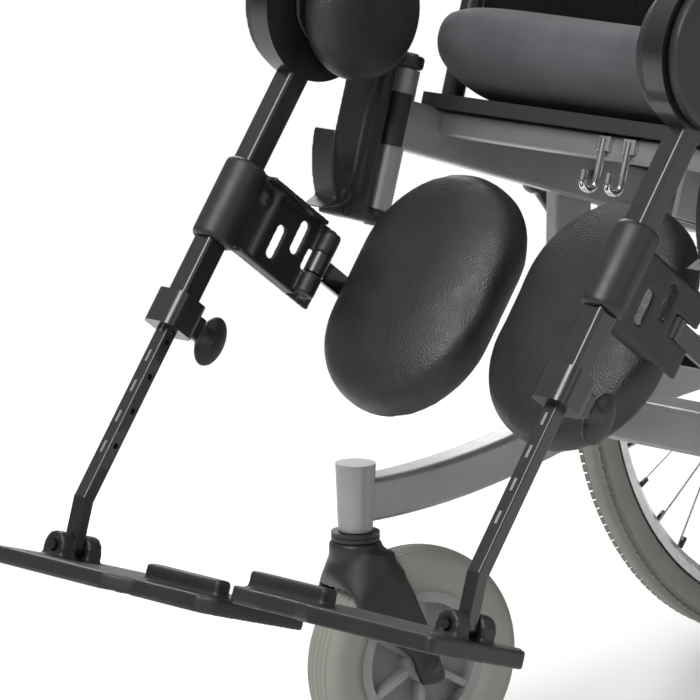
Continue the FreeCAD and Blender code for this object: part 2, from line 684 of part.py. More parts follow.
def seat_board():
    half = RAIL_OUT_X - 2.0
    return rounded(box(-half, half, BOARD_FRONT, BOARD_BACK, BOARD_LOW, BOARD_TOP), 5.0, AZ)


def seat_cushion():
    low = BOARD_TOP + 0.3
    return crowned(CUSHION_HALF_W, CUSHION_FRONT, CUSHION_BACK, low, CUSHION_T,
                   CUSHION_CROWN, CUSHION_DRAW, 34.0)


# Gas springs, each drawn upright at its lower eye and then turned to its upper eye
def spring(foot, head, cylinder_len, rod_len):
    """Cylinder and rod along the line from foot to head, with an eye at each far end."""
    span = (head - foot).Length
    place = FreeCAD.Placement(foot, FreeCAD.Rotation(AX,
                                                     math.degrees(math.atan2(-(head.y - foot.y), head.z - foot.z))))
    half = EYE_T / 2
    low_eye = tube(V(-half, 0, 0), V(half, 0, 0), EYE_R, EYE_PIN_R + RUN)
    cylinder = rod(V(0, 0, EYE_R - 2.0), V(0, 0, cylinder_len), SPRING_R)
    cylinder = cylinder.cut(rod(V(0, 0, EYE_R + 6.0), V(0, 0, cylinder_len + 1), SPRING_ROD_R + GAP))
    barrel = fuse(low_eye, cylinder).cut(rod(V(-half - 1, 0, 0), V(half + 1, 0, 0), EYE_PIN_R + RUN))
    top_eye = tube(V(-half, 0, span), V(half, 0, span), EYE_R + 3.0, EYE_OPEN_R)
    stick = rod(V(0, 0, span - rod_len), V(0, 0, span - EYE_OPEN_R - 2.0), SPRING_ROD_R)
    return on_frame(barrel, place), on_frame(fuse(stick, top_eye), place)


# Legrest, drawn for the left side
KNEE = SEAT.inverse().multVec(LEG.multVec(V(0, KNEE_N, KNEE_T)))
HANGER_U = -33.0
HANGER_HALF = 13.0
DISC_IN = LEG_X - KNEE_T_DISC / 2
DISC_OUT = LEG_X + KNEE_T_DISC / 2
ARM_IN = DISC_OUT + GAP
ARM_OUT = ARM_IN + 11.0
BRACKET_END = 12.0
LEVER_BOSS_R = 5.0
LEVER_BOSS_HALF = 15.0
LEVER_W = 26.0


def hanger():
    """Grooved bar beside the post, end brackets on the post's pins, and an arm out to the knee pivot."""
    top = POST_TOP + 1.0
    low = POST_BOTTOM - 1.0
    bar = rounded(box(RAIL_X - 11.0, ARM_OUT, HANGER_U - HANGER_HALF, HANGER_U + HANGER_HALF,
                      low - BRACKET_END, top + 30.0), 3.0, AZ)
    groove = box(RAIL_X - 12.0, RAIL_X - 9.0, HANGER_U - 4.0, HANGER_U + 4.0, low + 8.0, top + 20.0)
    bar = bar.cut(groove)
    ends = []
    for z0, z1 in ((top, top + BRACKET_END), (low - BRACKET_END, low)):
        round_end = rod(V(RAIL_X, 0, z0), V(RAIL_X, 0, z1), POST_R + 2.0)
        neck = box(RAIL_X - 9.0, RAIL_X + 12.0, HANGER_U, 0.0, z0, z1)
        ends.append(fuse(round_end, neck).cut(rod(V(RAIL_X, 0, z0 - 1), V(RAIL_X, 0, z1 + 1), PIN_R + RUN)))
    arm_half = 24.0
    arm = box(ARM_IN, ARM_OUT, KNEE.y, HANGER_U, KNEE.z - arm_half, top + 30.0)
    disc = rod(V(ARM_IN, KNEE.y, KNEE.z), V(ARM_OUT, KNEE.y, KNEE.z), KNEE_R - 4.0)
    pin = rod(V(ARM_OUT, KNEE.y, KNEE.z), V(DISC_IN - GAP, KNEE.y, KNEE.z), PIN_R)
    seat_disc = rod(V(DISC_IN - GAP, KNEE.y, KNEE.z), V(DISC_IN - 5.0, KNEE.y, KNEE.z), KNEE_PAD_R * 0.6)
    return fuse(bar, *ends, arm, disc, pin, seat_disc)


def knee_pad():
    """Round cushion on the inboard end of the knee pivot, crowned on its inner face."""
    outer = DISC_IN - 5.0 - 0.3
    steps = [(0.86, 0.0), (1.0, 0.22), (1.0, 0.6), (0.86, 0.88), (0.5, 1.0)]
    profile = [(0.0, 0.0)] + [(KNEE_PAD_R * r, -KNEE_PAD_T * a) for r,
                              a in steps] + [(0.0, -KNEE_PAD_T * 1.03)]
    curve = Part.BSplineCurve()
    curve.interpolate([V(r, 0, a) for r, a in profile[1:]])
    close = Part.makePolygon([curve.EndPoint, V(0, 0, -KNEE_PAD_T * 1.0), V(0, 0, 0), curve.StartPoint])
    body = Part.Face(Part.Wire([curve.toShape()] + close.Edges)).revolve(V(0, 0, 0), AZ, 360)
    body.Placement = FreeCAD.Placement(V(outer, KNEE.y + KNEE_PAD_BACK, KNEE.z), FreeCAD.Rotation(AZ, AX))
    return body


def release_lever():
    """Curved trigger on the hanger's foot, with its tip pointing up and forward."""
    root = V(0, HANGER_U - HANGER_HALF - 5.0, POST_BOTTOM + 6.0)
    tip = V(0, -80.0, -20.0)
    outer = Part.Arc(V(0, root.y - 12.0, root.z - 6.0), V(0, -72.0, -58.0), tip)
    inner = Part.Arc(tip + V(0, 5.0, -1.0), V(0, -62.0, -46.0), V(0, root.y + 4.6, root.z + 20.0))
    rest = Part.makePolygon([inner.EndPoint, V(0, root.y + 1.0, root.z - 10.0),
                             V(0, root.y - 26.0, root.z - 18.0), outer.StartPoint])
    wire = Part.Wire([outer.toShape(), Part.LineSegment(tip, tip + V(0, 5.0, -1.0)).toShape(),
                      inner.toShape()] + rest.Edges)
    blade = Part.Face(wire).extrude(V(LEVER_W, 0, 0)).translated(V(RAIL_X - LEVER_W / 2, 0, 0))
    pivot = lever_pivot()
    boss = rod(pivot - AX * LEVER_BOSS_HALF, pivot + AX * LEVER_BOSS_HALF, LEVER_BOSS_R)
    return fuse(blade, boss)


def lever_pivot():
    return V(RAIL_X, HANGER_U - HANGER_HALF - 6.0, POST_BOTTOM + 4.0)


def leg_tube():
    """Knee disc with the upper tube welded to its rim and a clamp collar at the tube's foot. Leg frame."""
    disc = rod(V(DISC_IN, KNEE_N, KNEE_T), V(DISC_OUT, KNEE_N, KNEE_T), KNEE_R)
    low = COLLAR_T - COLLAR_LEN / 2
    body = box(LEG_X - LEG_TUBE_X / 2, LEG_X + LEG_TUBE_X / 2, -LEG_TUBE_N / 2, LEG_TUBE_N / 2, low,
               KNEE_T - KNEE_R * 0.8)
    body = rounded(body, 3.5, AZ)
    collar = rounded(box(LEG_X - COLLAR_R, LEG_X + COLLAR_R, -COLLAR_R, COLLAR_R, low, low + COLLAR_LEN),
                     9.0, AZ)
    lug = soft_box(LEG_X - 8.0, LEG_X + 8.0, COLLAR_R - 3.0, COLLAR_R + 12.0, low + 5.0,
                   low + COLLAR_LEN - 5.0, 2.0)
    bore = ext_section(EXT_GAP, low - 1, KNEE_T - KNEE_R - 8.0)
    pivot_bore = rod(V(DISC_IN - 1, KNEE_N, KNEE_T), V(DISC_OUT + 1, KNEE_N, KNEE_T), PIN_R + RUN)
    knob_bore = rod(V(LEG_X, EXT_N / 2, COLLAR_T), V(LEG_X, COLLAR_R + 13.0, COLLAR_T), KNOB_SCREW_R + RUN)
    return cut(fuse(disc, body, collar, lug), bore, pivot_bore, knob_bore)


EXT_GAP = 0.3
KNOB_SCREW_R = 3.0


def ext_section(grow, t0, t1):
    half_x = EXT_X / 2 + grow
    half_n = EXT_N / 2 + grow
    return box(LEG_X - half_x, LEG_X + half_x, -half_n, half_n, t0, t1)


def wing_knob():
    """Screw with an oval wing, behind the clamp collar. Leg frame."""
    start = COLLAR_R + 12.0 + GAP
    screw = rod(V(LEG_X, EXT_N / 2 + 1.0, COLLAR_T), V(LEG_X, start + 6.0, COLLAR_T), KNOB_SCREW_R)
    boss = rod(V(LEG_X, start, COLLAR_T), V(LEG_X, start + 14.0, COLLAR_T), 8.0)
    wing = Part.makeSphere(1.0)
    shape = FreeCAD.Matrix()
    shape.scale(7.0, 15.0, 22.0)
    wing = wing.transformGeometry(shape).translated(V(LEG_X, start + 19.0, COLLAR_T))
    wing = wing.cut(box(LEG_X - 9.0, LEG_X + 9.0, 0.0, start, COLLAR_T - 30.0, COLLAR_T + 30.0))
    return fuse(screw, boss, wing)


def foot_place(drop):
    """Frame of the straight foot end of the extension tube: upright to the seat, at the foot hinge."""
    bend = V(0, 0, EXT_BEND_T - drop)
    turn = FreeCAD.Rotation(AX, LEG_ANGLE)
    return FreeCAD.Placement(bend + turn.multVec(V(0, 0, -FOOT_DROP)), turn)


def extension_tube(drop):
    """Inner tube with index holes, bent at its lower end, with a hinge pin along the foot. Leg frame."""
    run = ext_section(0.0, EXT_BEND_T - drop, COLLAR_T + 70.0 - drop)
    run = rounded(run, 1.5, AZ)
    foot = rounded(ext_section(0.0, 0.0, FOOT_DROP + 2.2), 1.5, AZ)
    end = rod(V(LEG_X, -EXT_N / 2, 0), V(LEG_X, EXT_N / 2, 0), EXT_X / 2)
    pin = rod(V(LEG_X, -HINGE_OUT, 0), V(LEG_X, HINGE_OUT, 0), FOOT_PIN_R)
    holes = [rod(V(LEG_X - EXT_X, 0, t), V(LEG_X - EXT_X / 2 + 3.0, 0, t), 2.6)
             for t in [EXT_BEND_T - drop + 50.0 + 32.0 * k for k in range(5)]]
    body = fuse(run, on_frame(fuse(foot, end), foot_place(drop)))
    return fuse(cut(body, *holes), on_frame(pin, foot_place(drop)))


HINGE_IN = EXT_N / 2 + 1.0
HINGE_OUT = 24.0
STOP_H = 14.0
PLATE_DROP = 9.0           # footplate top below its hinge line


def footplate():
    """Moulded plate, hollow beneath, with hinge lugs before and behind the tube. Foot frame, left side."""
    top = -PLATE_DROP
    low = top - PLATE_T
    out = LEG_X + 26.0
    outline = [(out, -PLATE_FRONT), (112.0, -PLATE_FRONT), (88.0, -PLATE_FRONT + 12.0),
               (PLATE_INNER + 12.0, -PLATE_FRONT + 14.0),
               (PLATE_INNER, -PLATE_FRONT + 24.0), (PLATE_INNER,
                                                    PLATE_BACK - 20.0), (40.0, PLATE_BACK), (out - 40.0, PLATE_BACK),
               (out, PLATE_BACK - 40.0)]
    plate = rounded(slab(outline, low, top), 6.0, AZ)
    inside = [(x + (4.0 if x < 60 else -4.0 if x > 200 else 0.0), y + (4.0 if y < 0 else -4.0)) for x,
              y in outline]
    plate = plate.cut(slab(inside, low - 1, top - 4.0))
    lugs = []
    for y0, y1 in ((-HINGE_OUT + 2.0, -HINGE_IN), (HINGE_IN, HINGE_OUT - 2.0)):
        cheek = rod(V(LEG_X, y0, 0), V(LEG_X, y1, 0), 12.0)
        base = box(LEG_X - 12.0, LEG_X + 12.0, y0, y1, top - 2.0, 0.0)
        lugs.append(fuse(cheek, base))
    stop = soft_box(PLATE_INNER + 8.0, PLATE_INNER + 92.0, -PLATE_FRONT + 30.0, -PLATE_FRONT + 46.0,
                    top - 3.0, top + STOP_H, 2.5)
    pin_bore = rod(V(LEG_X, -HINGE_OUT - 1, 0), V(LEG_X, HINGE_OUT + 1, 0), FOOT_PIN_R + RUN)
    tube_room = box(LEG_X - 8.0, LEG_X + 8.0, -HINGE_IN, HINGE_IN, -EXT_X / 2 - 3.0, 30.0)
    return cut(fuse(plate, *lugs, stop), pin_bore, tube_room)


# Calf support, in the leg frame, left side
BRACKET_X = LEG_X - 14.0
BARREL_X = LEG_X - 20.0
FLANGE = 11.0
KNUCKLE = 18.0
CALF_BACK_T = 5.0


def calf_bracket():
    """Sleeve on the leg tube with a slotted channel plate running back to a hinge barrel."""
    half = CALF_SLEEVE_LEN / 2
    sleeve = Part.makeCylinder(CALF_SLEEVE_R, CALF_SLEEVE_LEN, V(LEG_X, 0, -half), AZ)
    ends = [e for e in sleeve.Edges if abs(e.CenterOfMass.z) > half - 1 and e.Length > CALF_SLEEVE_R]
    sleeve = sleeve.makeFillet(5.0, ends)
    high = half - 2.0
    plate = box(BRACKET_X, BRACKET_X + BRACKET_T, 8.0, BRACKET_BACK, -high, high)
    flanges = [box(BRACKET_X - FLANGE, BRACKET_X + BRACKET_T, 12.0, BARREL_N - BARREL_R - 4.0, z,
                   z + 4.0) for z in (high - 4.0, -high)]
    rib = rod(V(BRACKET_X, 34.0, -high + 2.0), V(BRACKET_X, 34.0, high - 2.0), 4.5)
    slots = [rounded(box(BRACKET_X - 1, BRACKET_X + BRACKET_T + 1, y, y + 10.0, z, z + 30.0), 4.9, AX)
             for y, z in ((48.0, -20.0), (70.0, -4.0))]
    screw = rod(V(BRACKET_X - 3.0, 22.0, 18.0), V(BRACKET_X, 22.0, 18.0), 5.0)
    knuckles = []
    for z0, z1 in ((KNUCKLE / 2 + GAP, BARREL_LEN / 2), (-BARREL_LEN / 2, -KNUCKLE / 2 - GAP)):
        knuckle = rod(V(BARREL_X, BARREL_N, z0), V(BARREL_X, BARREL_N, z1), BARREL_R)
        leaf = box(BARREL_X, BRACKET_X + BRACKET_T, BARREL_N - 5.0, BARREL_N + BARREL_R, z0, z1)
        knuckles.append(fuse(knuckle, leaf))
    pin = rod(V(BARREL_X, BARREL_N, -BARREL_LEN / 2 - 3.0), V(BARREL_X, BARREL_N, BARREL_LEN / 2 + 3.0),
              CALF_PIN_R)
    tube_room = box(LEG_X - LEG_TUBE_X / 2, LEG_X + LEG_TUBE_X / 2, -LEG_TUBE_N / 2, LEG_TUBE_N / 2,
                    -half - 1, half + 1)
    arm_room = box(BARREL_X - 40.0, BRACKET_X + BRACKET_T + 1, BARREL_N - BARREL_R - 1.5,
                   BRACKET_BACK + 1, -KNUCKLE / 2 - GAP, KNUCKLE / 2 + GAP)
    body = cut(fuse(sleeve, plate, *flanges, rib, screw), tube_room, *slots).cut(arm_room)
    return fuse(body, *knuckles, pin)


CALF_PIN_R = 4.0
ARM_PLATE_N = CALF_PAD_N + CALF_PAD_T + 0.3


def calf_arm():
    """Knuckle on the hinge pin, and a plate that runs back and round behind the pad."""
    half = KNUCKLE / 2
    knuckle = rod(V(BARREL_X, BARREL_N, -half), V(BARREL_X, BARREL_N, half), BARREL_R)
    back = ARM_PLATE_N + CALF_BACK_T
    side = box(BARREL_X + 0.5, BARREL_X + 5.0, BARREL_N, back, -half, half)
    plate = box(CALF_PAD_X - 40.0, BARREL_X + 5.0, ARM_PLATE_N, back, -half, half)
    disc = rounded(box(CALF_PAD_X - 45.0, CALF_PAD_X + 45.0, ARM_PLATE_N, back, -55.0 + CALF_PAD_UP,
                       55.0 + CALF_PAD_UP), 20.0, AY)
    bore = rod(V(BARREL_X, BARREL_N, -half - 1), V(BARREL_X, BARREL_N, half + 1), CALF_PIN_R + RUN)
    return fuse(knuckle, side, plate, disc).cut(bore)


def calf_pad():
    """Oval pad with a rolled rim and a crowned front face."""
    wires = []
    for inset, rise in rolled_section(CALF_PAD_T, CALF_CROWN, CALF_ROLL, CALF_PAD_W * 0.36):
        y = CALF_PAD_N + CALF_PAD_T - rise
        wires.append(stadium(CALF_PAD_W - 2 * inset, CALF_PAD_H - 2 * inset, CALF_PAD_X, y, CALF_PAD_UP))
    return Part.makeLoft(wires, True, True)


# Backrest, in its own frame: origin at the recline pivot, y back, z up the back tubes
PANEL_LOW = 34.0
PANEL_TOP = BACK_LEN - 60.0
PANEL_T = 8.0
PANEL_BACK = -BACK_TUBE_R - 0.3
BACK_BEND = 40.0
HANDLE_TOP = V(BACK_X, 0, BACK_LEN)
HANDLE_END = V(BACK_X, HANDLE_REACH + GRIP_LEN - 4.0, BACK_LEN - 20.0)


def back_frame():
    """Two tubes bent back into the push handles, joined by cross tubes, with a lever under the seat."""
    sides = []
    for _, side in SIDES:
        path = [V(BACK_X, 0, -12.0), HANDLE_TOP, HANDLE_END]
        body = bent_tube(path, BACK_TUBE_R, BACK_BEND)
        eye = rod(V(BACK_X - BACK_TUBE_R, 0, 0), V(BACK_X + BACK_TUBE_R - 2.0, 0, 0), 17.0)
        bore = rod(V(BACK_X - BACK_TUBE_R * 2, 0, 0), V(BACK_X + BACK_TUBE_R * 2, 0, 0), PIN_R + RUN)
        sides.append(mirror(fuse(body, eye).cut(bore), side))
    inner = BACK_X - 2.0
    bars = [rod(V(-inner, 0, z), V(inner, 0, z), 9.0) for z in (PANEL_LOW - 14.0, PANEL_TOP + 16.0)]
    top_bar = PANEL_TOP + 16.0
    holder = box(-16.0, 16.0, 6.0, 34.0, top_bar - 14.0, top_bar + 14.0)
    holder = holder.cut(rod(V(0, 21.0, top_bar - 15.0), V(0, 21.0, top_bar + 15.0), HEAD_STEM_R + RUN))
    ears = []
    low_bar = PANEL_LOW - 14.0
    for x in (RECLINE_SPRING_X - EAR_OUT, RECLINE_SPRING_X + EAR_IN):
        ears.append(prism([(-12.0, low_bar + 4.0), (12.0, low_bar + 4.0), (10.0, -LEVER_DROP),
                           (-10.0, -LEVER_DROP)], x, x + 5.0))
    pin = rod(V(RECLINE_SPRING_X - EAR_OUT, 0, lever_z()), V(RECLINE_SPRING_X + EAR_OUT, 0, lever_z()),
              EYE_PIN_R)
    return fuse(sides[0], sides[1], *bars, holder, *ears, pin)


def lever_z():
    return -LEVER_DROP + 10.0


def back_panel():
    half = BACK_X + 6.0
    panel = box(-half, half, PANEL_BACK - PANEL_T, PANEL_BACK, PANEL_LOW, PANEL_TOP)
    return rounded(panel, 20.0, AY)


def back_cushion():
    """Crowned cushion in front of the panel, thickness towards the user."""
    body = crowned(BACK_CUSHION_HALF_W, PANEL_LOW + 40.0, PANEL_TOP + 60.0, 0.0, BACK_CUSHION_T, 10.0,
                   5.0, 34.0)
    turn = FreeCAD.Placement(V(0, PANEL_BACK - PANEL_T - 0.3, 0), FreeCAD.Rotation(AX, 90.0))
    return on_frame(body, turn)


def push_grip():
    """Ribbed rubber grip over the end of the handle tube."""
    end = HANDLE_END
    along = (end - HANDLE_TOP).normalize()
    start = end - along * GRIP_LEN
    body = rod(start, end + along * 5.0, GRIP_R)
    return body.cut(rod(start - along, end + along * SEAT_GAP, BACK_TUBE_R + SEAT_GAP))


def trigger():
    """Squeeze lever under the grip that frees a gas spring."""
    y = HANDLE_REACH - 8.0
    z = BACK_LEN - 50.0
    hub = rod(V(BACK_X - 9.0, y - 14.0, z + 6.0), V(BACK_X + 9.0, y - 14.0, z + 6.0), 7.0)
    blade = prism([(y - 14.0, z + 12.0), (y + 70.0, z - 10.0), (y + 76.0, z - 16.0), (y + 60.0, z - 17.0),
                   (y - 14.0, z)],
                  BACK_X - 7.0, BACK_X + 7.0)
    bore = rod(V(BACK_X - 12.0, y - 14.0, z + 6.0), V(BACK_X + 12.0, y - 14.0, z + 6.0), 3.0 + RUN)
    return fuse(hub, blade).cut(bore)


def trigger_mount():
    """Collar on the handle tube with two cheeks and the trigger's pin."""
    y = HANDLE_REACH - 22.0
    z = BACK_LEN - 44.0
    cheeks = [box(BACK_X + s * 9.4, BACK_X + s * 13.0, y - 9.0, y + 9.0, z - 8.0,
                  z + 42.0) for s in (-1, 1)]
    bridge = box(BACK_X - 13.0, BACK_X + 13.0, y - 9.0, y + 9.0, z + 20.0, z + 44.0)
    pin = rod(V(BACK_X - 13.0, y, z), V(BACK_X + 13.0, y, z), 3.0)
    room = rod(HANDLE_TOP, HANDLE_END, BACK_TUBE_R + SEAT_GAP)
    return fuse(fuse(*cheeks, bridge).cut(room), pin)


def headrest_stem():
    low = PANEL_TOP - 90.0
    return fuse(rod(V(0, 21.0, low), V(0, 21.0, BACK_LEN + 150.0), HEAD_STEM_R),
                box(-30.0, 30.0, 8.0, 22.0, BACK_LEN + 105.0, BACK_LEN + 150.0))


def headrest_pad():
    body = crowned(HEADREST_W / 2, BACK_LEN + 60.0, BACK_LEN + 60.0 + HEADREST_H, 0.0, HEADREST_T, 12.0,
                   4.0, 28.0)
    turn = FreeCAD.Placement(V(0, 7.7, 0), FreeCAD.Rotation(AX, 90.0))
    return on_frame(body, turn)


# Armrests, in the seat frame, left side
ARM_TUBE_R = 10.0


def arm_frame():
    """Bent tube: rear pivot eye, long top run, front post down to a socket beside the rail."""
    path = [V(ARM_X, ARM_BACK, 70.0), V(ARM_X, ARM_BACK, ARM_TOP), V(ARM_X, ARM_FRONT, ARM_TOP),
            V(ARM_X, ARM_FRONT, RAIL_H / 2 + 4.0)]
    eye = tube(V(ARM_X - 9.0, ARM_BACK, 70.0), V(ARM_X + 9.0, ARM_BACK, 70.0), 16.0, PIN_R + RUN)
    return fuse(bent_tube(path, ARM_TUBE_R, 36.0).cut(rod(V(ARM_X - 20.0, ARM_BACK, 70.0),
                                                          V(ARM_X + 20.0, ARM_BACK,
                                                            70.0), PIN_R + RUN)), eye)


def side_panel():
    half = 3.0
    panel = box(ARM_X - half, ARM_X + half, ARM_FRONT + ARM_TUBE_R, ARM_BACK - ARM_TUBE_R, 100.0,
                ARM_TOP - ARM_TUBE_R)
    return rounded(panel, 24.0, AX)


def arm_pad():
    mid = (ARM_FRONT + ARM_BACK) / 2
    body = crowned(ARM_PAD_W / 2, mid - ARM_PAD_L / 2 - 15.0, mid + ARM_PAD_L / 2 - 15.0,
                   ARM_TOP + ARM_TUBE_R + 0.3, ARM_PAD_T, 5.0, 2.0, 20.0)
    return body.translated(V(ARM_X, 0, 0))


def arm_brackets():
    """Plates on the seat rails: a pivot pin behind and a socket for the front post."""
    parts = []
    for _, side in SIDES:
        plate = box(RAIL_OUT_X, RAIL_OUT_X + 6.0, ARM_BACK - 18.0, ARM_BACK + 18.0, -RAIL_H / 2, 88.0)
        pin = rod(V(RAIL_OUT_X, ARM_BACK, 70.0), V(ARM_X + 12.0, ARM_BACK, 70.0), PIN_R)
        rest = box(RAIL_OUT_X, ARM_X + 12.0, ARM_FRONT - 14.0, ARM_FRONT + 14.0, -16.0,
                   RAIL_H / 2 + 4.0 - GAP)
        parts.append(mirror(fuse(plate, pin), side))
        parts.append(mirror(rest, side))
    return Part.makeCompound(parts)


# Wheel brakes, left side, in the world frame
def brake_bracket():
    z = rail_height(BRAKE_PIVOT_Y)
    plate = box(RAIL_OUT, RAIL_OUT + 6.0, BRAKE_PIVOT_Y - 22.0, BRAKE_PIVOT_Y + 22.0, z - 12.0,
                BRAKE_PIVOT_Z + 16.0)
    pin = rod(V(RAIL_OUT, BRAKE_PIVOT_Y, BRAKE_PIVOT_Z), V(BRAKE_X + 12.0, BRAKE_PIVOT_Y, BRAKE_PIVOT_Z),
              PIN_R)
    return fuse(rounded(plate, 8.0, AX), pin)


def brake_lever():
    """Handle up, shoe behind: pushing the handle forward turns the shoe into the tyre."""
    hub = rod(V(BRAKE_X - 6.0, BRAKE_PIVOT_Y, BRAKE_PIVOT_Z), V(BRAKE_X + 6.0, BRAKE_PIVOT_Y,
                                                                BRAKE_PIVOT_Z), 15.0)
    handle = bent_tube([V(BRAKE_X, BRAKE_PIVOT_Y, BRAKE_PIVOT_Z), V(BRAKE_X, BRAKE_PIVOT_Y - 18.0,
                                                                    BRAKE_PIVOT_Z + 70.0),
                        V(BRAKE_X, BRAKE_PIVOT_Y - 70.0, BRAKE_PIVOT_Z + 130.0)], 6.0, 40.0)
    knob = Part.makeSphere(11.0, V(BRAKE_X, BRAKE_PIVOT_Y - 70.0, BRAKE_PIVOT_Z + 130.0))
    shoe_arm = rod(V(BRAKE_X, BRAKE_PIVOT_Y, BRAKE_PIVOT_Z), V(BRAKE_X, BRAKE_PIVOT_Y + 15.0,
                                                               BRAKE_PIVOT_Z - 32.0), 7.0)
    shoe = rod(V(BRAKE_X, BRAKE_PIVOT_Y + 15.0, BRAKE_PIVOT_Z - 32.0),
               V(REAR_X + 16.0, BRAKE_PIVOT_Y + 15.0, BRAKE_PIVOT_Z - 32.0), 7.0)
    bore = rod(V(BRAKE_X - 20.0, BRAKE_PIVOT_Y, BRAKE_PIVOT_Z), V(BRAKE_X + 20.0, BRAKE_PIVOT_Y,
                                                                  BRAKE_PIVOT_Z), PIN_R + RUN)
    return fuse(hub, handle, knob, shoe_arm, shoe).cut(bore)


# Assembly: every node, in the world frame
def add(name, shape):
    NODES[name] = shape


def both_sides(*solids):
    """One node of separate solids: each one and its mirror image."""
    return Part.makeCompound([mirror(solid, side) for _, side in SIDES for solid in solids])


def add_pair(name, make, place=None, turn=None):
    """A piece for each side, drawn once for the left."""
    for word, side in SIDES:
        shape = make()
        if turn is not None:
            shape = turn(shape)
        if place is not None:
            shape = on_frame(shape, place)
        add(name + "_" + word, mirror(shape, side))


add("base_frame", both_sides(fuse(base_side(), upright())))
add("base_cross_tubes", Part.makeCompound([cross_beam(), rear_tube()]))
add("axle_plates", both_sides(axle_plate(), rear_axle()))
add("anti_tippers", both_sides(*anti_tipper()))
add_pair("rear_tyre", rear_tyre)
add_pair("rear_rim", lambda: Part.makeCompound([rear_rim(), handrim()]))
add_pair("caster_fork", caster_fork, turn=turned_caster)
add("caster_seals", both_sides(*caster_seals()))
add_pair("caster_tyre", caster_tyre, turn=turned_caster)
add_pair("caster_rim", caster_rim, turn=turned_caster)
add("brake_brackets", both_sides(brake_bracket()))
add_pair("brake_lever", brake_lever)

add("seat_frame", on_frame(seat_frame(), SEAT))
add("post_sleeves", on_frame(post_sleeves(), SEAT))
add("tie_down_hooks", on_frame(tie_down_hooks(), SEAT))
add("seat_board", on_frame(seat_board(), SEAT))
add("seat_cushion", on_frame(seat_cushion(), SEAT))
add("arm_brackets", on_frame(arm_brackets(), SEAT))
add_pair("arm_frame", lambda: Part.makeCompound([arm_frame(), side_panel()]), SEAT)
add_pair("arm_pad", arm_pad, SEAT)

add("back_frame", on_frame(back_frame(), BACK))
add("back_panel", on_frame(back_panel(), BACK))
add("back_cushion", on_frame(back_cushion(), BACK))
add("push_grips", on_frame(both_sides(push_grip(), trigger_mount()), BACK))
add_pair("trigger", trigger, BACK)
add("headrest_stem", on_frame(headrest_stem(), BACK))
add("headrest_pad", on_frame(headrest_pad(), BACK))

barrel, stick = spring(tilt_foot(), SEAT.multVec(tilt_head()), TILT_CYLINDER_LEN, TILT_ROD_LEN)
add("tilt_spring_cylinder", barrel)
add("tilt_spring_rod", stick)
barrel, stick = spring(SEAT.multVec(recline_foot()), BACK.multVec(V(RECLINE_SPRING_X, 0, lever_z())),
                       RECLINE_CYLINDER_LEN, RECLINE_ROD_LEN)
add("recline_spring_cylinder", barrel)
add("recline_spring_rod", stick)

add_pair("hanger", hanger, SEAT)
add_pair("release_lever", release_lever, SEAT)
add_pair("knee_pad", knee_pad, SEAT)
add_pair("leg_tube", leg_tube, LEG)
add_pair("wing_knob", wing_knob, LEG)
add_pair("calf_bracket", calf_bracket, LEG)
add_pair("calf_arm", calf_arm, LEG)
add_pair("calf_pad", calf_pad, LEG)
for word, side in SIDES:
    drop = LEFT_EXTRA if side > 0 else 0.0
    add("extension_tube_" + word, mirror(on_frame(extension_tube(drop), LEG), side))
    foot = LEG.multiply(foot_place(drop))
    add("footplate_" + word, mirror(on_frame(footplate(), foot), side))

# The part's origin is on the floor, midway along and across the chair
REACH = [point.y for shape in NODES.values() for point in shape.tessellate(MESH_TOL)[0]]
MID_Y = (min(REACH) + max(REACH)) / 2
for name, shape in NODES.items():
    shape.translated(V(0, -MID_Y, 0)).exportStep("parts/" + name + ".step")
print(len(NODES), "nodes, middle at", round(MID_Y, 3))
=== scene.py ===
# %% [markdown]
# # A tilting wheelchair with elevating legrests
# The construction comes as a fixed frame: every metal and plastic piece at its real size, in metres.
# This lesson dresses it. Each step first says what the piece is on the real chair,
# and then how it is made here and why.

# %% Load the frame
import bpy
import bmesh
import json
import math
from mathutils import Matrix, Vector


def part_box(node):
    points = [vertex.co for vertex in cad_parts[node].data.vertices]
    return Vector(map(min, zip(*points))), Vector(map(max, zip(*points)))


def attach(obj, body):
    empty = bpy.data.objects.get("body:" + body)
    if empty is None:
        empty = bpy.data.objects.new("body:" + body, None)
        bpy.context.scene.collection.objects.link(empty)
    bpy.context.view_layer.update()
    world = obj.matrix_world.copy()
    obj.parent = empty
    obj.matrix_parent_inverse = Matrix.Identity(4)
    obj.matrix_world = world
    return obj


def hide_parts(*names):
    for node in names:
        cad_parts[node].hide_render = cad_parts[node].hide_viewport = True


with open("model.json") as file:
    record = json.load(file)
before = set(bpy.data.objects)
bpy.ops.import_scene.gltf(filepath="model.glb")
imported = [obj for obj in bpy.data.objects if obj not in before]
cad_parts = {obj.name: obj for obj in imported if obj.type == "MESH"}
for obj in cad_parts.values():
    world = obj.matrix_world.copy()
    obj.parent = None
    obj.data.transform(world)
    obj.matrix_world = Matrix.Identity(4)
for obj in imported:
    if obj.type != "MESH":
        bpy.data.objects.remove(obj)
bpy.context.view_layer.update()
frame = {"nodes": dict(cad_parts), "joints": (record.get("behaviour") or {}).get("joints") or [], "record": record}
record = frame["record"]
joints = {joint["name"]: joint for joint in frame["joints"]}
SIDES = (("right", -1.0), ("left", 1.0))

# %% [markdown]
# ## The camera
# A long lens stands at the front, to the user's left, a little above the seat rails.
# The picture takes in only the lower front of the chair,
# so the lens is long and the rest lies outside the frame.

# %% Camera
CAMERA_AT = Vector((2.7327, -3.1984, 1.1929))
CAMERA_AZIMUTH = math.radians(45.57)
CAMERA_ELEVATION = math.radians(11.09)
CAMERA_LENS = 256.3
CAMERA_FAR = 50.0

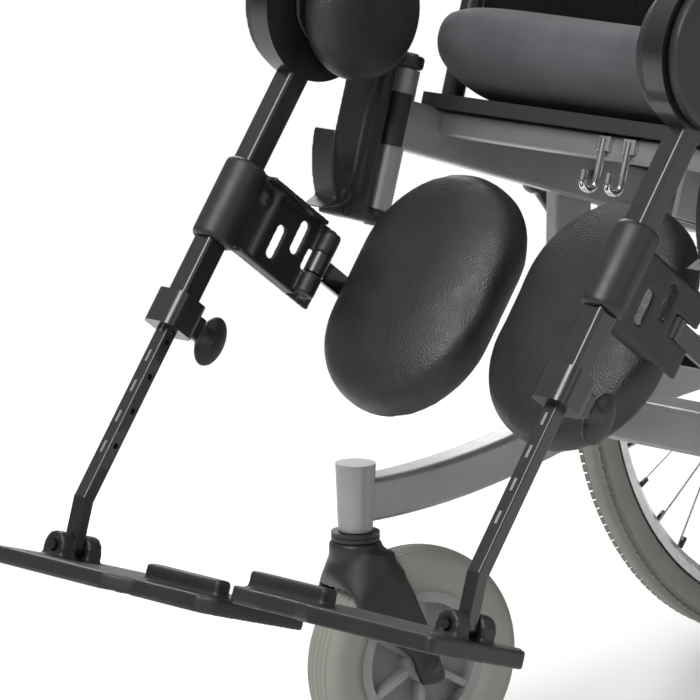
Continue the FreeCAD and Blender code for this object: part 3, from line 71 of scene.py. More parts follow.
camera = bpy.data.objects.new("camera", bpy.data.cameras.new("camera"))
bpy.context.collection.objects.link(camera)
camera.location = CAMERA_AT
camera.rotation_euler = (math.pi / 2 - CAMERA_ELEVATION, 0.0, CAMERA_AZIMUTH)
camera.data.lens = CAMERA_LENS
camera.data.clip_end = CAMERA_FAR
bpy.context.scene.camera = camera
print("camera:", round(CAMERA_AT.length, 2), "m from the chair's foot")

# %% [markdown]
# ## Floor and light
# A plain white studio: large soft lamps give broad highlights on the tubes, as a product picture has.
# The camera sees white all round. Reflections see a bright ceiling over darker walls,
# which keeps black pieces black.
# The floor is lit close to the chair, where its shadow falls, and blends into the white further out.

# %% Studio: helpers for materials
WHITE = (1, 1, 1, 1)


def new_material(name):
    """A node material with its shader, ready for more nodes."""
    material = bpy.data.materials.new(name)
    material.use_nodes = True
    return material, material.node_tree.nodes, material.node_tree.links


def map_range(nodes, links, value, source, target):
    """Remap a value linearly from one range to another."""
    block = nodes.new("ShaderNodeMapRange")
    for name, number in zip(("From Min", "From Max", "To Min", "To Max"), (*source, *target)):
        block.inputs[name].default_value = number
    links.new(value, block.inputs["Value"])
    return block.outputs["Result"]


# %% Studio: the room
CEILING = 0.75
WALLS = 0.09
CEILING_BLEND = (-0.1, 0.8)


def make_world():
    """White for the camera, and a lit room for everything else."""
    world = bpy.data.worlds.new("studio")
    bpy.context.scene.world = world
    world.use_nodes = True
    nodes, links = world.node_tree.nodes, world.node_tree.links
    room = nodes["Background"]
    split = nodes.new("ShaderNodeSeparateXYZ")
    links.new(nodes.new("ShaderNodeTexCoord").outputs["Generated"], split.inputs[0])
    height = map_range(nodes, links, split.outputs["Z"], CEILING_BLEND, (WALLS, CEILING))
    links.new(height, room.inputs["Strength"])
    room.inputs["Color"].default_value = WHITE
    white = nodes.new("ShaderNodeBackground")
    white.inputs["Color"].default_value = WHITE
    mix = nodes.new("ShaderNodeMixShader")
    links.new(nodes.new("ShaderNodeLightPath").outputs["Is Camera Ray"], mix.inputs[0])
    links.new(room.outputs[0], mix.inputs[1])
    links.new(white.outputs[0], mix.inputs[2])
    links.new(mix.outputs[0], nodes["World Output"].inputs["Surface"])


make_world()
print("room: walls", WALLS, "ceiling", CEILING)

# %% Studio: the floor
FLOOR_HALF = 12.0
FLOOR_PAINT = (0.93, 0.93, 0.93, 1)
FLOOR_ROUGH = 0.9
SHADOW_REACH = (0.9, 2.2)


def make_floor():
    """A painted floor near the chair that turns to plain white for the camera further out."""
    mesh = bpy.data.meshes.new("floor")
    h = FLOOR_HALF
    mesh.from_pydata([(-h, -h, 0), (h, -h, 0), (h, h, 0), (-h, h, 0)], [], [(0, 1, 2, 3)])
    floor = bpy.data.objects.new("floor", mesh)
    bpy.context.collection.objects.link(floor)
    material, nodes, links = new_material("floor_paint")
    paint = nodes["Principled BSDF"]
    paint.inputs["Base Color"].default_value = FLOOR_PAINT
    paint.inputs["Roughness"].default_value = FLOOR_ROUGH
    distance = nodes.new("ShaderNodeVectorMath")
    distance.operation = "LENGTH"
    links.new(nodes.new("ShaderNodeTexCoord").outputs["Object"], distance.inputs[0])
    glow = nodes.new("ShaderNodeEmission")
    glow.inputs["Color"].default_value = WHITE
    far = nodes.new("ShaderNodeMath")
    far.operation = "MULTIPLY"
    links.new(map_range(nodes, links, distance.outputs["Value"], SHADOW_REACH, (0.0, 1.0)), far.inputs[0])
    links.new(nodes.new("ShaderNodeLightPath").outputs["Is Camera Ray"], far.inputs[1])
    mix = nodes.new("ShaderNodeMixShader")
    links.new(far.outputs[0], mix.inputs[0])
    links.new(paint.outputs[0], mix.inputs[1])
    links.new(glow.outputs[0], mix.inputs[2])
    links.new(mix.outputs[0], nodes["Material Output"].inputs["Surface"])
    mesh.materials.append(material)


make_floor()
print("floor:", 2 * FLOOR_HALF, "m across")

# %% Studio: the lamps
# name: (place, point it looks at, disk's diameter, watts)
LAMPS = {
    "key": ((0.6, -3.2, 3.4), (0, -0.3, 0.5), 2.4, 150.0),
    "fill": ((3.6, 0.4, 2.2), (0, -0.2, 0.5), 2.8, 22.0),
    "rim": ((-3.0, 1.6, 2.8), (0, 0, 0.6), 2.0, 80.0),
}


def area_lamp(name, at, toward, size, watts):
    """A round soft lamp that looks at a point."""
    data = bpy.data.lights.new(name, "AREA")
    data.shape = "DISK"
    data.size = size
    data.energy = watts
    lamp = bpy.data.objects.new(name, data)
    lamp.location = at
    lamp.rotation_euler = (Vector(toward) - Vector(at)).to_track_quat("-Z", "Y").to_euler()
    bpy.context.collection.objects.link(lamp)


for lamp_name, lamp_setting in LAMPS.items():
    area_lamp(lamp_name, *lamp_setting)
bpy.context.scene.view_settings.view_transform = "Standard"
print("lamps:", ", ".join(LAMPS))

# %% [markdown]
# ## Finishes
# Every finish is built from a few node blocks: a slow mottling that shifts the colour and the gloss a little,
# and a fine grain that only tilts the surface. All of them read Object coordinates, so a pattern keeps its
# real size in metres on every piece, whatever the piece's shape.

# %% Blocks of the finishes
NOISE_MIDDLE = (0.3, 0.7)
GLOSS_FINER = 6


def noise_block(nodes, links, coords, scale, detail=3.0, rough=0.55):
    """Cloudy noise at one scale."""
    block = nodes.new("ShaderNodeTexNoise")
    block.inputs["Scale"].default_value = scale
    block.inputs["Detail"].default_value = detail
    block.inputs["Roughness"].default_value = rough
    links.new(coords, block.inputs["Vector"])
    return block.outputs["Fac"]


def remap(nodes, links, value, low, high):
    """A noise's middle range spread over two values."""
    return map_range(nodes, links, value, NOISE_MIDDLE, (low, high))


def two_tone(nodes, links, value, dark, light):
    """Blend two colours by a value."""
    block = nodes.new("ShaderNodeMix")
    block.data_type = "RGBA"
    block.inputs[6].default_value = (*dark, 1)
    block.inputs[7].default_value = (*light, 1)
    links.new(value, block.inputs[0])
    return block.outputs[2]


def bump_block(nodes, links, height, depth, strength):
    """Tilt the surface by a height pattern."""
    block = nodes.new("ShaderNodeBump")
    block.inputs["Distance"].default_value = depth
    block.inputs["Strength"].default_value = strength
    links.new(height, block.inputs["Height"])
    return block.outputs["Normal"]


# %% One finish
def finish_material(name, dark, light, gloss, metal=0.0, coat=0.0, mottle=9.0,
                    grain=600.0, grain_depth=0.0002, grain_strength=0.3, pattern=None):
    """A finish: two close tones, a range of roughness, and a grain or a pattern of its own as bump."""
    material, nodes, links = new_material(name)
    shader = nodes["Principled BSDF"]
    coords = nodes.new("ShaderNodeTexCoord").outputs["Object"]
    slow = remap(nodes, links, noise_block(nodes, links, coords, mottle), 0.0, 1.0)
    links.new(two_tone(nodes, links, slow, dark, light), shader.inputs["Base Color"])
    patchy = noise_block(nodes, links, coords, mottle * GLOSS_FINER)
    links.new(remap(nodes, links, patchy, *gloss), shader.inputs["Roughness"])
    shader.inputs["Metallic"].default_value = metal
    shader.inputs["Coat Weight"].default_value = coat
    fine = pattern(nodes, links, coords) if pattern else noise_block(nodes, links, coords, grain, 2.0)
    links.new(bump_block(nodes, links, fine, grain_depth, grain_strength), shader.inputs["Normal"])
    return material


# %% [markdown]
# Two covers have a pattern of their own. Artificial leather is a field of small pebbles, which Voronoi cells
# give. A woven cover is two sets of threads, which two crossed waves give.

# %% Patterns of the covers
PEBBLE_SCALE = 620.0
THREAD_SCALE = 260.0
THREAD_WANDER = 0.8


def leather_cells(nodes, links, coords):
    """Fine leather grain: small pebbles with creases between them."""
    cells = nodes.new("ShaderNodeTexVoronoi")
    cells.feature = "F1"
    cells.inputs["Scale"].default_value = PEBBLE_SCALE
    links.new(coords, cells.inputs["Vector"])
    return cells.outputs["Distance"]


def weave(nodes, links, coords):
    """Woven cover: two crossed waves, a thread a millimetre wide."""
    cross = nodes.new("ShaderNodeMath")
    cross.operation = "MAXIMUM"
    for slot, direction in enumerate(("X", "Y")):
        wave = nodes.new("ShaderNodeTexWave")
        wave.bands_direction = direction
        wave.inputs["Scale"].default_value = THREAD_SCALE
        wave.inputs["Distortion"].default_value = THREAD_WANDER
        links.new(coords, wave.inputs["Vector"])
        links.new(wave.outputs["Fac"], cross.inputs[slot])
    return cross.outputs[0]


# %% [markdown]
# The silver is a powder coat with fine metal flake, so it is only half metallic and spreads its highlights.
# Moulded plastic and black coated steel look alike in colour;
# the steel is smoother and has a thin clear coat.
# The pads have a pebbled artificial leather, the tyres a chalky grey rubber that doesn't mark floors.

# %% The finishes of this chair
BLACK_TONES = ((0.006, 0.006, 0.0063), (0.010, 0.010, 0.0105))
FINISH = {
    "silver": finish_material("silver_coat", (0.25, 0.25, 0.25), (0.31, 0.31, 0.308), (0.34, 0.46),
                              metal=0.6, grain=2400.0, grain_strength=0.18),
    "black_metal": finish_material("black_coat", *BLACK_TONES, (0.24, 0.34),
                                   coat=0.3, grain=1500.0, grain_strength=0.12),
    "black_plastic": finish_material("black_moulding", *BLACK_TONES, (0.40, 0.52),
                                     grain=1900.0, grain_strength=0.35),
    "upholstery": finish_material("pad_leather", (0.007, 0.007, 0.0073), (0.012, 0.012, 0.0125), (0.40, 0.54),
                                  grain_depth=0.0005, grain_strength=0.55, pattern=leather_cells),
    "seat_fabric": finish_material("seat_weave", (0.055, 0.056, 0.062), (0.08, 0.081, 0.088), (0.75, 0.9),
                                   grain_depth=0.0004, grain_strength=0.6, pattern=weave),
    "tyre": finish_material("grey_rubber", (0.20, 0.20, 0.175), (0.26, 0.26, 0.232), (0.7, 0.85),
                            grain=900.0, grain_strength=0.25),
    "rim": finish_material("satin_aluminium", (0.55, 0.55, 0.56), (0.66, 0.66, 0.67), (0.22, 0.34),
                           metal=1.0, grain=1800.0, grain_strength=0.08),
    "caster_rim": finish_material("wheel_moulding", (0.20, 0.20, 0.2), (0.25, 0.25, 0.25), (0.5, 0.62),
                                  grain=1500.0),
    "chrome": finish_material("hook_chrome", (0.62, 0.62, 0.63), (0.72, 0.72, 0.73), (0.08, 0.16),
                              metal=1.0, grain=700.0, grain_strength=0.04),
    "grip": finish_material("grip_rubber", (0.014, 0.014, 0.014), (0.022, 0.022, 0.022), (0.6, 0.75),
                            grain=1100.0),
    "board": finish_material("board_sheet", (0.014, 0.014, 0.015), (0.021, 0.021, 0.022), (0.55, 0.7),
                             grain=500.0, grain_strength=0.5),
    "axle": finish_material("brushed_axle", (0.42, 0.42, 0.43), (0.5, 0.5, 0.51), (0.25, 0.4),
                            metal=1.0, grain=2200.0),
}


def dress(obj, finish):
    """Give every face of a piece one finish."""
    obj.data.materials.clear()
    obj.data.materials.append(FINISH[finish])


slot_of = {row["node"]: row["material_slot"] for row in record["subparts"]}
for node_name, node in frame["nodes"].items():
    dress(node, slot_of[node_name])
print("finishes:", len(FINISH))

# %% [markdown]
# ## Pieces that take a solid's place
# Many pieces start as their solid from the frame. A copy is merged, because a solid's mesh is loose triangles,
# and remeshed to even faces, which swell and smooth well. The finished mesh then rides on the solid's body
# and stands in its place, with the same material slot.

# %% Copies of solids
MERGE_REACH = 0.00005


def link_piece(name, mesh):
    """A new object in the scene with this mesh."""
    piece = bpy.data.objects.new(name, mesh)
    bpy.context.collection.objects.link(piece)
    return piece


def apply_modifiers(piece):
    """Turn the evaluated shape into the piece's own mesh and clear the stack."""
    graph = bpy.context.evaluated_depsgraph_get()
    graph.update()
    mesh = bpy.data.meshes.new_from_object(piece.evaluated_get(graph))
    piece.modifiers.clear()
    piece.data = mesh


def even_copy(node_name, piece_name, voxel):
    """A merged copy of a node's mesh, remeshed to even faces of one size."""
    mesh = frame["nodes"][node_name].data.copy()
    piece = link_piece(piece_name, mesh)
    work = bmesh.new()
    work.from_mesh(mesh)
    bmesh.ops.remove_doubles(work, verts=work.verts, dist=MERGE_REACH)
    work.to_mesh(mesh)
    work.free()
    remesh = piece.modifiers.new("even", "REMESH")
    remesh.mode = "VOXEL"
    remesh.voxel_size = voxel
    apply_modifiers(piece)
    return piece


def relax(piece, rounds):
    """Smooth every point toward its neighbours a few times."""
    work = bmesh.new()
    work.from_mesh(piece.data)
    for _ in range(rounds):
        bmesh.ops.smooth_vert(work, verts=work.verts, factor=0.5,
                              use_axis_x=True, use_axis_y=True, use_axis_z=True)
    work.to_mesh(piece.data)
    work.free()


# %% Standing in for a node
def smooth_faces(piece):
    """Shade a piece without facets."""
    for face in piece.data.polygons:
        face.use_smooth = True


def stand_in(piece, body, node_name):
    """Put a finished mesh in a node's place."""
    smooth_faces(piece)
    dress(piece, slot_of[node_name])
    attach(piece, body)
    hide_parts(node_name)
    print(piece.name, len(piece.data.polygons), "faces")


# %% [markdown]
# ## The padded pieces
# The chair's pads are foam in a sewn cover. Each one is drawn in a little from its solid
# and blown up again as cloth with pressure, so the faces swell and the edges round over.
# What a swelling may move is capped, because a pad has to stay in the room that the frame gives it.

# %% Pads: drawing in and swelling
PAD_FRAMES = 20
PAD_PRESSURE = 4.0
PAD_QUALITY = 4


def shrink(piece, by):
    """Draw every point in along its normal, so the swelling has room."""
    work = bmesh.new()
    work.from_mesh(piece.data)
    work.normal_update()
    moves = [(v, v.normal.copy()) for v in work.verts]
    for v, normal in moves:
        v.co -= normal * by
    work.to_mesh(piece.data)
    work.free()


def swell(piece, cap):
    """Cloth with inner pressure for a few frames, each point moved by at most cap."""
    start = [v.co.copy() for v in piece.data.vertices]
    cloth = piece.modifiers.new("cover", "CLOTH")
    cloth.settings.quality = PAD_QUALITY
    cloth.settings.use_pressure = True
    cloth.settings.uniform_pressure_force = PAD_PRESSURE
    cloth.settings.effector_weights.gravity = 0.0
    cloth.point_cache.frame_start = 1
    cloth.point_cache.frame_end = PAD_FRAMES
    scene = bpy.context.scene
    for step in range(1, PAD_FRAMES + 1):
        scene.frame_set(step)
    apply_modifiers(piece)
    scene.frame_set(1)
    for vertex, was in zip(piece.data.vertices, start):
        move = vertex.co - was
        if move.length > cap:
            vertex.co = was + move.normalized() * cap


# %% Pads: one pad
PAD_VOXEL = 0.005
PAD_RELAX = 2


def make_pad(node_name, body, room, voxel=PAD_VOXEL):
    """One padded piece in place of its solid: remeshed, drawn in, swollen, smoothed and finished."""
    piece = even_copy(node_name, node_name + "_cover", voxel)
    relax(piece, PAD_RELAX)
    shrink(piece, room)
    swell(piece, room)
    relax(piece, PAD_RELAX)
    subdivide = piece.modifiers.new("fine", "SUBSURF")
    subdivide.levels = 1
    subdivide.render_levels = 1
    apply_modifiers(piece)
    stand_in(piece, body, node_name)
    return piece


# %% [markdown]
# The calf pads and the round knee pads are firm, with a fine pebbled grain.
# The seat and back cushions are softer and have a woven cover.
# The arm pads and the headrest are moulded foam with a leather-like skin.

# %% Pads: all of them
PAD_ROOM, ARM_ROOM, CUSHION_ROOM = 0.002, 0.0015, 0.003
CUSHION_VOXEL = 0.006

for word, side in SIDES:
    make_pad("calf_pad_" + word, "calf_" + word, PAD_ROOM)
    make_pad("knee_pad_" + word, "hanger_" + word, PAD_ROOM)
    make_pad("arm_pad_" + word, "arm_" + word, ARM_ROOM)
seat_cover = make_pad("seat_cushion", "seat", CUSHION_ROOM, CUSHION_VOXEL)
make_pad("back_cushion", "back", CUSHION_ROOM, CUSHION_VOXEL)
make_pad("headrest_pad", "headrest", PAD_ROOM)

# %% [markdown]
# The seat cushion's front lower edge is rolled up for bent knees, which a plain block of foam doesn't show.
# Its points are lifted by a share that fades with the distance from that edge.
# The cushion's sides are covered in the darker cloth of the pads.

# %% Seat cushion: front edge and sides
SEAT_TILT = math.radians(17.04)
SEAT_ALONG = Vector((0, math.cos(SEAT_TILT), -math.sin(SEAT_TILT)))
SEAT_UP = Vector((0, math.sin(SEAT_TILT), math.cos(SEAT_TILT)))
CURL_REACH = 0.09
CURL_LIFT = 0.030
SIDE_FACING = 0.75


def curl_front(piece, reach, lift):
    """Round the front lower edge of the seat cushion up."""
    spots = [(v, v.co.dot(SEAT_ALONG), v.co.dot(SEAT_UP)) for v in piece.data.vertices]
    front = min(u for _, u, _ in spots)
    low = min(w for _, _, w in spots)
    thick = max(w for _, _, w in spots) - low
    for vertex, u, w in spots:
        near = max(0.0, 1.0 - (u - front) / reach)
        under = max(0.0, 1.0 - (w - low) / thick)
        vertex.co += SEAT_UP * (lift * near * near * under)


curl_front(seat_cover, CURL_REACH, CURL_LIFT)
seat_cover.data.materials.append(FINISH["upholstery"])
for face in seat_cover.data.polygons:
    if abs(face.normal.x) > SIDE_FACING:
        face.material_index = 1
print("seat cushion: front edge rolled by", CURL_LIFT, "m")

# %% [markdown]
# ## The rear tyres
# A grey, non-marking tyre has a plain centre rib and a row of small blocks on each shoulder.
# The carcass is turned from one outline, with a shallow step where the blocks sit.
# The blocks repeat by a rule, so Geometry Nodes put one block on every point of a circle.
# What shows as grooves is the room between them.

# %% Rear tyres: turning and joining
def lathe_mesh(name, outline, steps):
    """Closed ring turned about the X axis from (x, radius) points."""
    work = bmesh.new()
    rings = []
    for k in range(steps):
        angle = 2 * math.pi * k / steps
        rings.append([work.verts.new((x, r * math.cos(angle), r * math.sin(angle))) for x, r in outline])
    count = len(outline)
    for k in range(steps):
        here, there = rings[k], rings[(k + 1) % steps]
        for i in range(count):
            j = (i + 1) % count
            work.faces.new((here[i], here[j], there[j], there[i]))
    bmesh.ops.recalc_face_normals(work, faces=work.faces)
    mesh = bpy.data.meshes.new(name)
    work.to_mesh(mesh)
    work.free()
    return mesh


def join_meshes(name, meshes, offset=Vector()):
    """One object from several meshes, its place kept in the mesh."""
    work = bmesh.new()
    for mesh in meshes:
        work.from_mesh(mesh)
    bmesh.ops.translate(work, verts=work.verts, vec=offset)
    joined = bpy.data.meshes.new(name)
    work.to_mesh(joined)
    work.free()
    return link_piece(name, joined)


# %% Rear tyres: Geometry Nodes helpers
def new_tree(name, inputs):
    """An empty Geometry Nodes tree with named inputs, and the identifiers of their sockets."""
    tree = bpy.data.node_groups.new(name, "GeometryNodeTree")
    tree.interface.new_socket("Geometry", in_out="OUTPUT", socket_type="NodeSocketGeometry")
    sockets = {}
    for label, kind in inputs.items():
        socket = tree.interface.new_socket(label, in_out="INPUT", socket_type="NodeSocket" + kind)
        sockets[label] = socket.identifier
    return tree, sockets


def end_tree(tree, shape, finish):
    """Realize the instances, give them their finish and hand them out."""
    nodes, links = tree.nodes, tree.links
    real = nodes.new("GeometryNodeRealizeInstances")
    links.new(shape, real.inputs[0])
    paint = nodes.new("GeometryNodeSetMaterial")
    paint.inputs["Material"].default_value = FINISH[finish]
    links.new(real.outputs[0], paint.inputs["Geometry"])
    links.new(paint.outputs[0], nodes.new("NodeGroupOutput").inputs[0])


def grown(tree, sockets, values):
    """The mesh that a tree gives for these inputs."""
    holder = link_piece("grower", bpy.data.meshes.new("grower"))
    grow = holder.modifiers.new("grow", "NODES")
    grow.node_group = tree
    for name, value in values.items():
        grow[sockets[name]] = value
    graph = bpy.context.evaluated_depsgraph_get()
    mesh = bpy.data.meshes.new_from_object(holder.evaluated_get(graph))
    bpy.data.objects.remove(holder)
    return mesh


# %% Rear tyres: the ring of blocks
RING_INPUTS = {"Count": "Int", "Radius": "Float", "Offset": "Float", "Lean": "Float", "Size": "Vector"}


def math_node(tree, operation):
    """A math node of one operation."""
    node = tree.nodes.new("ShaderNodeMath")
    node.operation = operation
    return node


def ring_tree(finish):
    """Geometry Nodes: blocks on a circle about X, each leaning with the shoulder."""
    tree, sockets = new_tree("tread_blocks", RING_INPUTS)
    nodes, links = tree.nodes, tree.links
    given = nodes.new("NodeGroupInput")
    circle = nodes.new("GeometryNodeMeshCircle")
    links.new(given.outputs["Count"], circle.inputs["Vertices"])
    links.new(given.outputs["Radius"], circle.inputs["Radius"])
    block = nodes.new("GeometryNodeMeshCube")
    links.new(given.outputs["Size"], block.inputs["Size"])
    lean = nodes.new("ShaderNodeCombineXYZ")
    links.new(given.outputs["Lean"], lean.inputs["Y"])
    leaning = nodes.new("GeometryNodeTransform")
    links.new(block.outputs["Mesh"], leaning.inputs["Geometry"])
    links.new(lean.outputs[0], leaning.inputs["Rotation"])
    share = math_node(tree, "DIVIDE")
    links.new(nodes.new("GeometryNodeInputIndex").outputs[0], share.inputs[0])
    links.new(given.outputs["Count"], share.inputs[1])
    turn = math_node(tree, "MULTIPLY")
    turn.inputs[1].default_value = 2 * math.pi
    links.new(share.outputs[0], turn.inputs[0])
    spin = nodes.new("ShaderNodeCombineXYZ")
    links.new(turn.outputs[0], spin.inputs["Z"])
    place = nodes.new("GeometryNodeInstanceOnPoints")
    links.new(circle.outputs["Mesh"], place.inputs["Points"])
    links.new(leaning.outputs[0], place.inputs["Instance"])
    links.new(spin.outputs[0], place.inputs["Rotation"])
    stand = nodes.new("GeometryNodeTransform")
    stand.inputs["Rotation"].default_value = (0, math.pi / 2, 0)
    links.new(place.outputs[0], stand.inputs["Geometry"])
    shift = nodes.new("ShaderNodeCombineXYZ")
    links.new(given.outputs["Offset"], shift.inputs["X"])
    links.new(shift.outputs[0], stand.inputs["Translation"])
    end_tree(tree, stand.outputs[0], finish)
    return tree, sockets


# %% Rear tyres: both of them
TYRE_BLOCKS = 190
BLOCK_DEEP = 0.0016
BLOCK_WIDE = 0.0062
BLOCK_GAP = 0.0024
BLOCK_SUNK = 0.55
RIB_HALF = 0.0066
GROOVE = 0.0011
TURN_STEPS = 180
TYRE_ROUND = 100
TYRE_ROUND_STEP = 5
BEAD_DROP = 0.62
BEAD_HALF = 0.7


def tyre_outline(outer, section):
    """Half-round tyre section: centre rib, recessed shoulders, straight lower walls, flat bead."""
    centre = outer - section
    points = []
    for degrees in range(-TYRE_ROUND, TYRE_ROUND + 1, TYRE_ROUND_STEP):
        angle = math.radians(degrees)
        x = section * math.sin(angle)
        r = centre + section * math.cos(angle)
        recessed = RIB_HALF < abs(x) < RIB_HALF + GROOVE + BLOCK_WIDE
        points.append((x, r - (BLOCK_DEEP if recessed else 0.0)))
    bead = centre - section * BEAD_DROP
    return points + [(section * BEAD_HALF, bead), (-section * BEAD_HALF, bead)]


def make_rear_tyre(word, tree, sockets):
    """One tyre: the turned carcass and two rows of shoulder blocks."""
    low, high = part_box("rear_tyre_" + word)
    outer = (high[2] - low[2]) / 2
    section = (high[0] - low[0]) / 2
    meshes = [lathe_mesh("tyre_body", tyre_outline(outer, section), TURN_STEPS)]
    lean = math.asin((RIB_HALF + GROOVE + BLOCK_WIDE / 2) / section)
    reach = outer - section + (section - BLOCK_DEEP * BLOCK_SUNK) * math.cos(lean)
    long = 2 * math.pi * outer / TYRE_BLOCKS - BLOCK_GAP
    for side in (-1, 1):
        meshes.append(grown(tree, sockets, {
            "Count": TYRE_BLOCKS, "Radius": reach, "Lean": side * lean,
            "Offset": side * section * math.sin(lean), "Size": (BLOCK_DEEP, long, BLOCK_WIDE)}))
    piece = join_meshes("rear_tyre_tread_" + word, meshes, (Vector(low) + Vector(high)) / 2)
    stand_in(piece, "rear_wheel_" + word, "rear_tyre_" + word)


tread, tread_sockets = ring_tree("tyre")
for word, side in SIDES:
    make_rear_tyre(word, tread, tread_sockets)

# %% [markdown]
# ## Moulded and forged pieces
# Plastic mouldings and forged levers have no sharp edge anywhere. Each one is remeshed from its solid to small
# even faces and relaxed a few times: flats stay flat, and every edge and inner corner gets a soft radius.
# A bevel would need clean edge loops, which a solid's triangles don't have.

# %% Mouldings
# node's family: (body's family, voxel, rounds of smoothing)
MOULDED = {
    "caster_fork": ("caster_fork_", 0.0022, 7),
    "hanger": ("hanger_", 0.0022, 4),
    "release_lever": ("release_lever_", 0.0012, 6),
    "calf_bracket": ("leg_", 0.0016, 3),
    "wing_knob": ("wing_knob_", 0.0012, 6),
    "footplate": ("footplate_", 0.0018, 3),
    "brake_lever": ("brake_", 0.0015, 4),
    "trigger": ("trigger_", 0.0013, 5),
}

for family, (body, voxel, rounds) in MOULDED.items():
    for word, side in SIDES:
        moulding = even_copy(family + "_" + word, family + "_moulding_" + word, voxel)
        relax(moulding, rounds)
        stand_in(moulding, body + word, family + "_" + word)

# %% [markdown]
# ## The caster tyres
# A solid grey tyre has three fine grooves on each half of its tread, and smooth walls.
# It is turned from one outline too, and then set on the axle of its caster.

# %% Caster tyres
CASTER_STEPS = 144
CASTER_HALF = 0.023
CASTER_OUTER = 0.100
CASTER_INNER = 0.062
CROWN_RISE = 0.016
CROWN_POWER = 0.7
TREAD_GROOVES = (0.0035, 0.0085, 0.0135)
GROOVE_WIDE = 0.0017
GROOVE_DEEP = 0.0015
# points down the wall: share of the half width, height over the bore
CASTER_WALL = ((1.0, 0.018), (0.95, 0.012), (0.97, 0.008), (0.8, 0.0))


def caster_outline():
    """Crowned tread with grooves, rounded shoulders, slightly hollow walls."""
    points = []
    for degrees in range(-90, 91):
        x = CASTER_HALF * math.sin(math.radians(degrees))
        bulge = math.sqrt(max(0.0, 1.0 - (x / CASTER_HALF) ** 2))
        r = CASTER_OUTER - CROWN_RISE + CROWN_RISE * bulge ** CROWN_POWER
        nearest = min(abs(abs(x) - groove) for groove in TREAD_GROOVES)
        points.append((x, r - (GROOVE_DEEP if nearest < GROOVE_WIDE / 2 else 0.0)))
    wall = [(CASTER_HALF * share, CASTER_INNER + height) for share, height in CASTER_WALL]
    return points + wall + [(-x, r) for x, r in reversed(wall)]


def set_on_axle(mesh, joint):
    """Turn a mesh made about the X axis to a joint's axis, and move it there."""
    turn = Vector((1, 0, 0)).rotation_difference(Vector(joint["axis"])).to_matrix().to_4x4()
    mesh.transform(Matrix.Translation(Vector(joint["pos_m"])) @ turn)


for word, side in SIDES:
    mesh = lathe_mesh("caster_tyre", caster_outline(), CASTER_STEPS)
    set_on_axle(mesh, joints["caster_spin_" + word])
    tyre = link_piece("caster_tyre_tread_" + word, mesh)
    stand_in(tyre, "caster_wheel_" + word, "caster_tyre_" + word)

# %% [markdown]
# ## Spoke nipples
# Every spoke ends in a dark nipple at the rim. The nipples sit on a circle by the same rule as the tread's
# blocks, so they use the same Geometry Nodes tree. They take no solid's place and only ride on the wheel.

# %% Nipples
SPOKES = 36
NIPPLE = (0.011, 0.0036, 0.0036)
NIPPLE_CIRCLE = 0.2495


def add_small_part(piece, body, finish):
    """Dress a piece that has no solid of its own and let it ride on a body."""
    dress(piece, finish)
    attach(piece, body)
    print(piece.name, len(piece.data.polygons), "faces")


nipple_tree, nipple_sockets = ring_tree("black_metal")
for word, side in SIDES:
    low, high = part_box("rear_tyre_" + word)
    ring = grown(nipple_tree, nipple_sockets, {
        "Count": SPOKES, "Radius": NIPPLE_CIRCLE, "Lean": 0.0, "Offset": 0.0, "Size": NIPPLE})
    nipples = join_meshes("spoke_nipples_" + word, [ring], (Vector(low) + Vector(high)) / 2)
    smooth_faces(nipples)
    add_small_part(nipples, "rear_wheel_" + word, "black_metal")

# %% [markdown]
# ## Ribs under the footplates
# A moulded footplate is a thin skin stiffened by crossed ribs beneath. Each rib is a strip on a diagonal,
# cut to where it lies inside the plate's edge. A short walk along the diagonal finds those ends,
# which is simpler than cutting solids.

# %% Ribs: tools
def inside(x, y, edge):
    """Whether a point lies inside a closed outline."""
    hit = False
    for (x0, y0), (x1, y1) in zip(edge, edge[1:] + edge[:1]):
        if (y0 > y) != (y1 > y) and x < x0 + (y - y0) * (x1 - x0) / (y1 - y0):
            hit = not hit
    return hit


def bar(work, start, end, half, up, low, high):
    """A box from start to end, with a half width, between two heights along up."""
    across = (end - start).cross(up).normalized() * half
    ring = [start - across, start + across, end + across, end - across]
    verts = [work.verts.new(p + up * low) for p in ring] + [work.verts.new(p + up * high) for p in ring]
    for face in ((3, 2, 1, 0), (4, 5, 6, 7), (0, 1, 5, 4), (1, 2, 6, 5), (2, 3, 7, 6), (3, 0, 4, 7)):
        work.faces.new([verts[k] for k in face])


# %% Ribs: both plates
RIB_PITCH = 0.028
RIB_WIDE = 0.0024
RIB_TOP = -0.0125
RIB_LOW = -0.0222
RIB_NUMBERS = range(-8, 16)
RIB_LEAST = 6
WALK = [k * 0.001 - 0.06 for k in range(145)]
PLATE_EDGE = [(0.238, -0.057), (0.112, -0.057), (0.088, -0.045), (0.022, -0.043), (0.010, -0.033),
              (0.010, 0.057), (0.044, 0.077), (0.202, 0.077), (0.238, 0.037)]


def make_ribs(word, side):
    """Crossed ribs under one footplate."""
    hinge = Vector(joints["footplate_fold_" + word]["pos_m"])
    origin = Vector((0, hinge.y, hinge.z))
    work = bmesh.new()
    for slope in (1, -1):
        for number in RIB_NUMBERS:
            run = [y for y in WALK if inside(RIB_PITCH * number + slope * y, y, PLATE_EDGE)]
            if len(run) > RIB_LEAST:
                ends = []
                for y in (run[0], run[-1]):
                    outward = side * (RIB_PITCH * number + slope * y)
                    ends.append(origin + SEAT_ALONG * y + Vector((outward, 0, 0)))
                bar(work, *ends, RIB_WIDE / 2, SEAT_UP, RIB_LOW, RIB_TOP)
    bmesh.ops.recalc_face_normals(work, faces=work.faces)
    mesh = bpy.data.meshes.new("ribs")
    work.to_mesh(mesh)
    work.free()
    add_small_part(link_piece("footplate_ribs_" + word, mesh), "footplate_" + word, "black_plastic")


for word, side in SIDES:
    make_ribs(word, side)

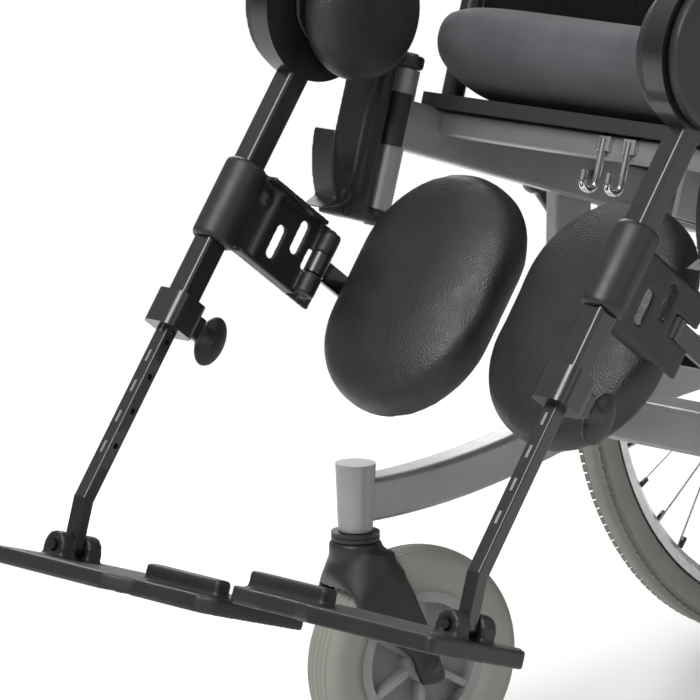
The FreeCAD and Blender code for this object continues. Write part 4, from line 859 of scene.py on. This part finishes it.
# %% [markdown]
# ## Index slots in the extension tubes
# A row of slots in each tube sets the legrest's length. They repeat along the tube by a step,
# so a small Geometry Nodes row puts them there, just proud of the tube's front.

# %% Slots: the row
ROW_INPUTS = {"Count": "Int", "First": "Vector", "Step": "Vector", "Size": "Vector", "Turn": "Vector"}


def row_tree(finish):
    """Geometry Nodes: equal boxes in a row from a first point, by a step."""
    tree, sockets = new_tree("row_of_slots", ROW_INPUTS)
    nodes, links = tree.nodes, tree.links
    given = nodes.new("NodeGroupInput")
    line = nodes.new("GeometryNodeMeshLine")
    links.new(given.outputs["Count"], line.inputs["Count"])
    links.new(given.outputs["First"], line.inputs["Start Location"])
    links.new(given.outputs["Step"], line.inputs["Offset"])
    box = nodes.new("GeometryNodeMeshCube")
    links.new(given.outputs["Size"], box.inputs["Size"])
    place = nodes.new("GeometryNodeInstanceOnPoints")
    links.new(line.outputs["Mesh"], place.inputs["Points"])
    links.new(box.outputs["Mesh"], place.inputs["Instance"])
    links.new(given.outputs["Turn"], place.inputs["Rotation"])
    end_tree(tree, place.outputs[0], finish)
    return tree, sockets


# %% Slots: both tubes
LEG_LEAN = math.radians(36.04)
TUBE_WAY = Vector((0, math.sin(LEG_LEAN), math.cos(LEG_LEAN)))
TUBE_FRONT = Vector((0, -math.cos(LEG_LEAN), math.sin(LEG_LEAN)))
TUBE_HALF = 0.006
FOOT_STRAIGHT = 0.040
SLOT_FIRST = 0.046
SLOT_STEP = 0.028
SLOT_COUNT = 5
SLOT_SIZE = (0.0026, 0.0006, 0.0105)

rows, row_sockets = row_tree("axle")
for word, side in SIDES:
    bend = Vector(joints["footplate_fold_" + word]["pos_m"]) + FOOT_STRAIGHT * SEAT_UP
    mesh = grown(rows, row_sockets, {
        "Count": SLOT_COUNT, "First": bend + TUBE_WAY * SLOT_FIRST + TUBE_FRONT * TUBE_HALF,
        "Step": TUBE_WAY * SLOT_STEP, "Size": SLOT_SIZE, "Turn": (-LEG_LEAN, 0, 0)})
    add_small_part(join_meshes("index_slots_" + word, [mesh]), "extension_" + word, "axle")
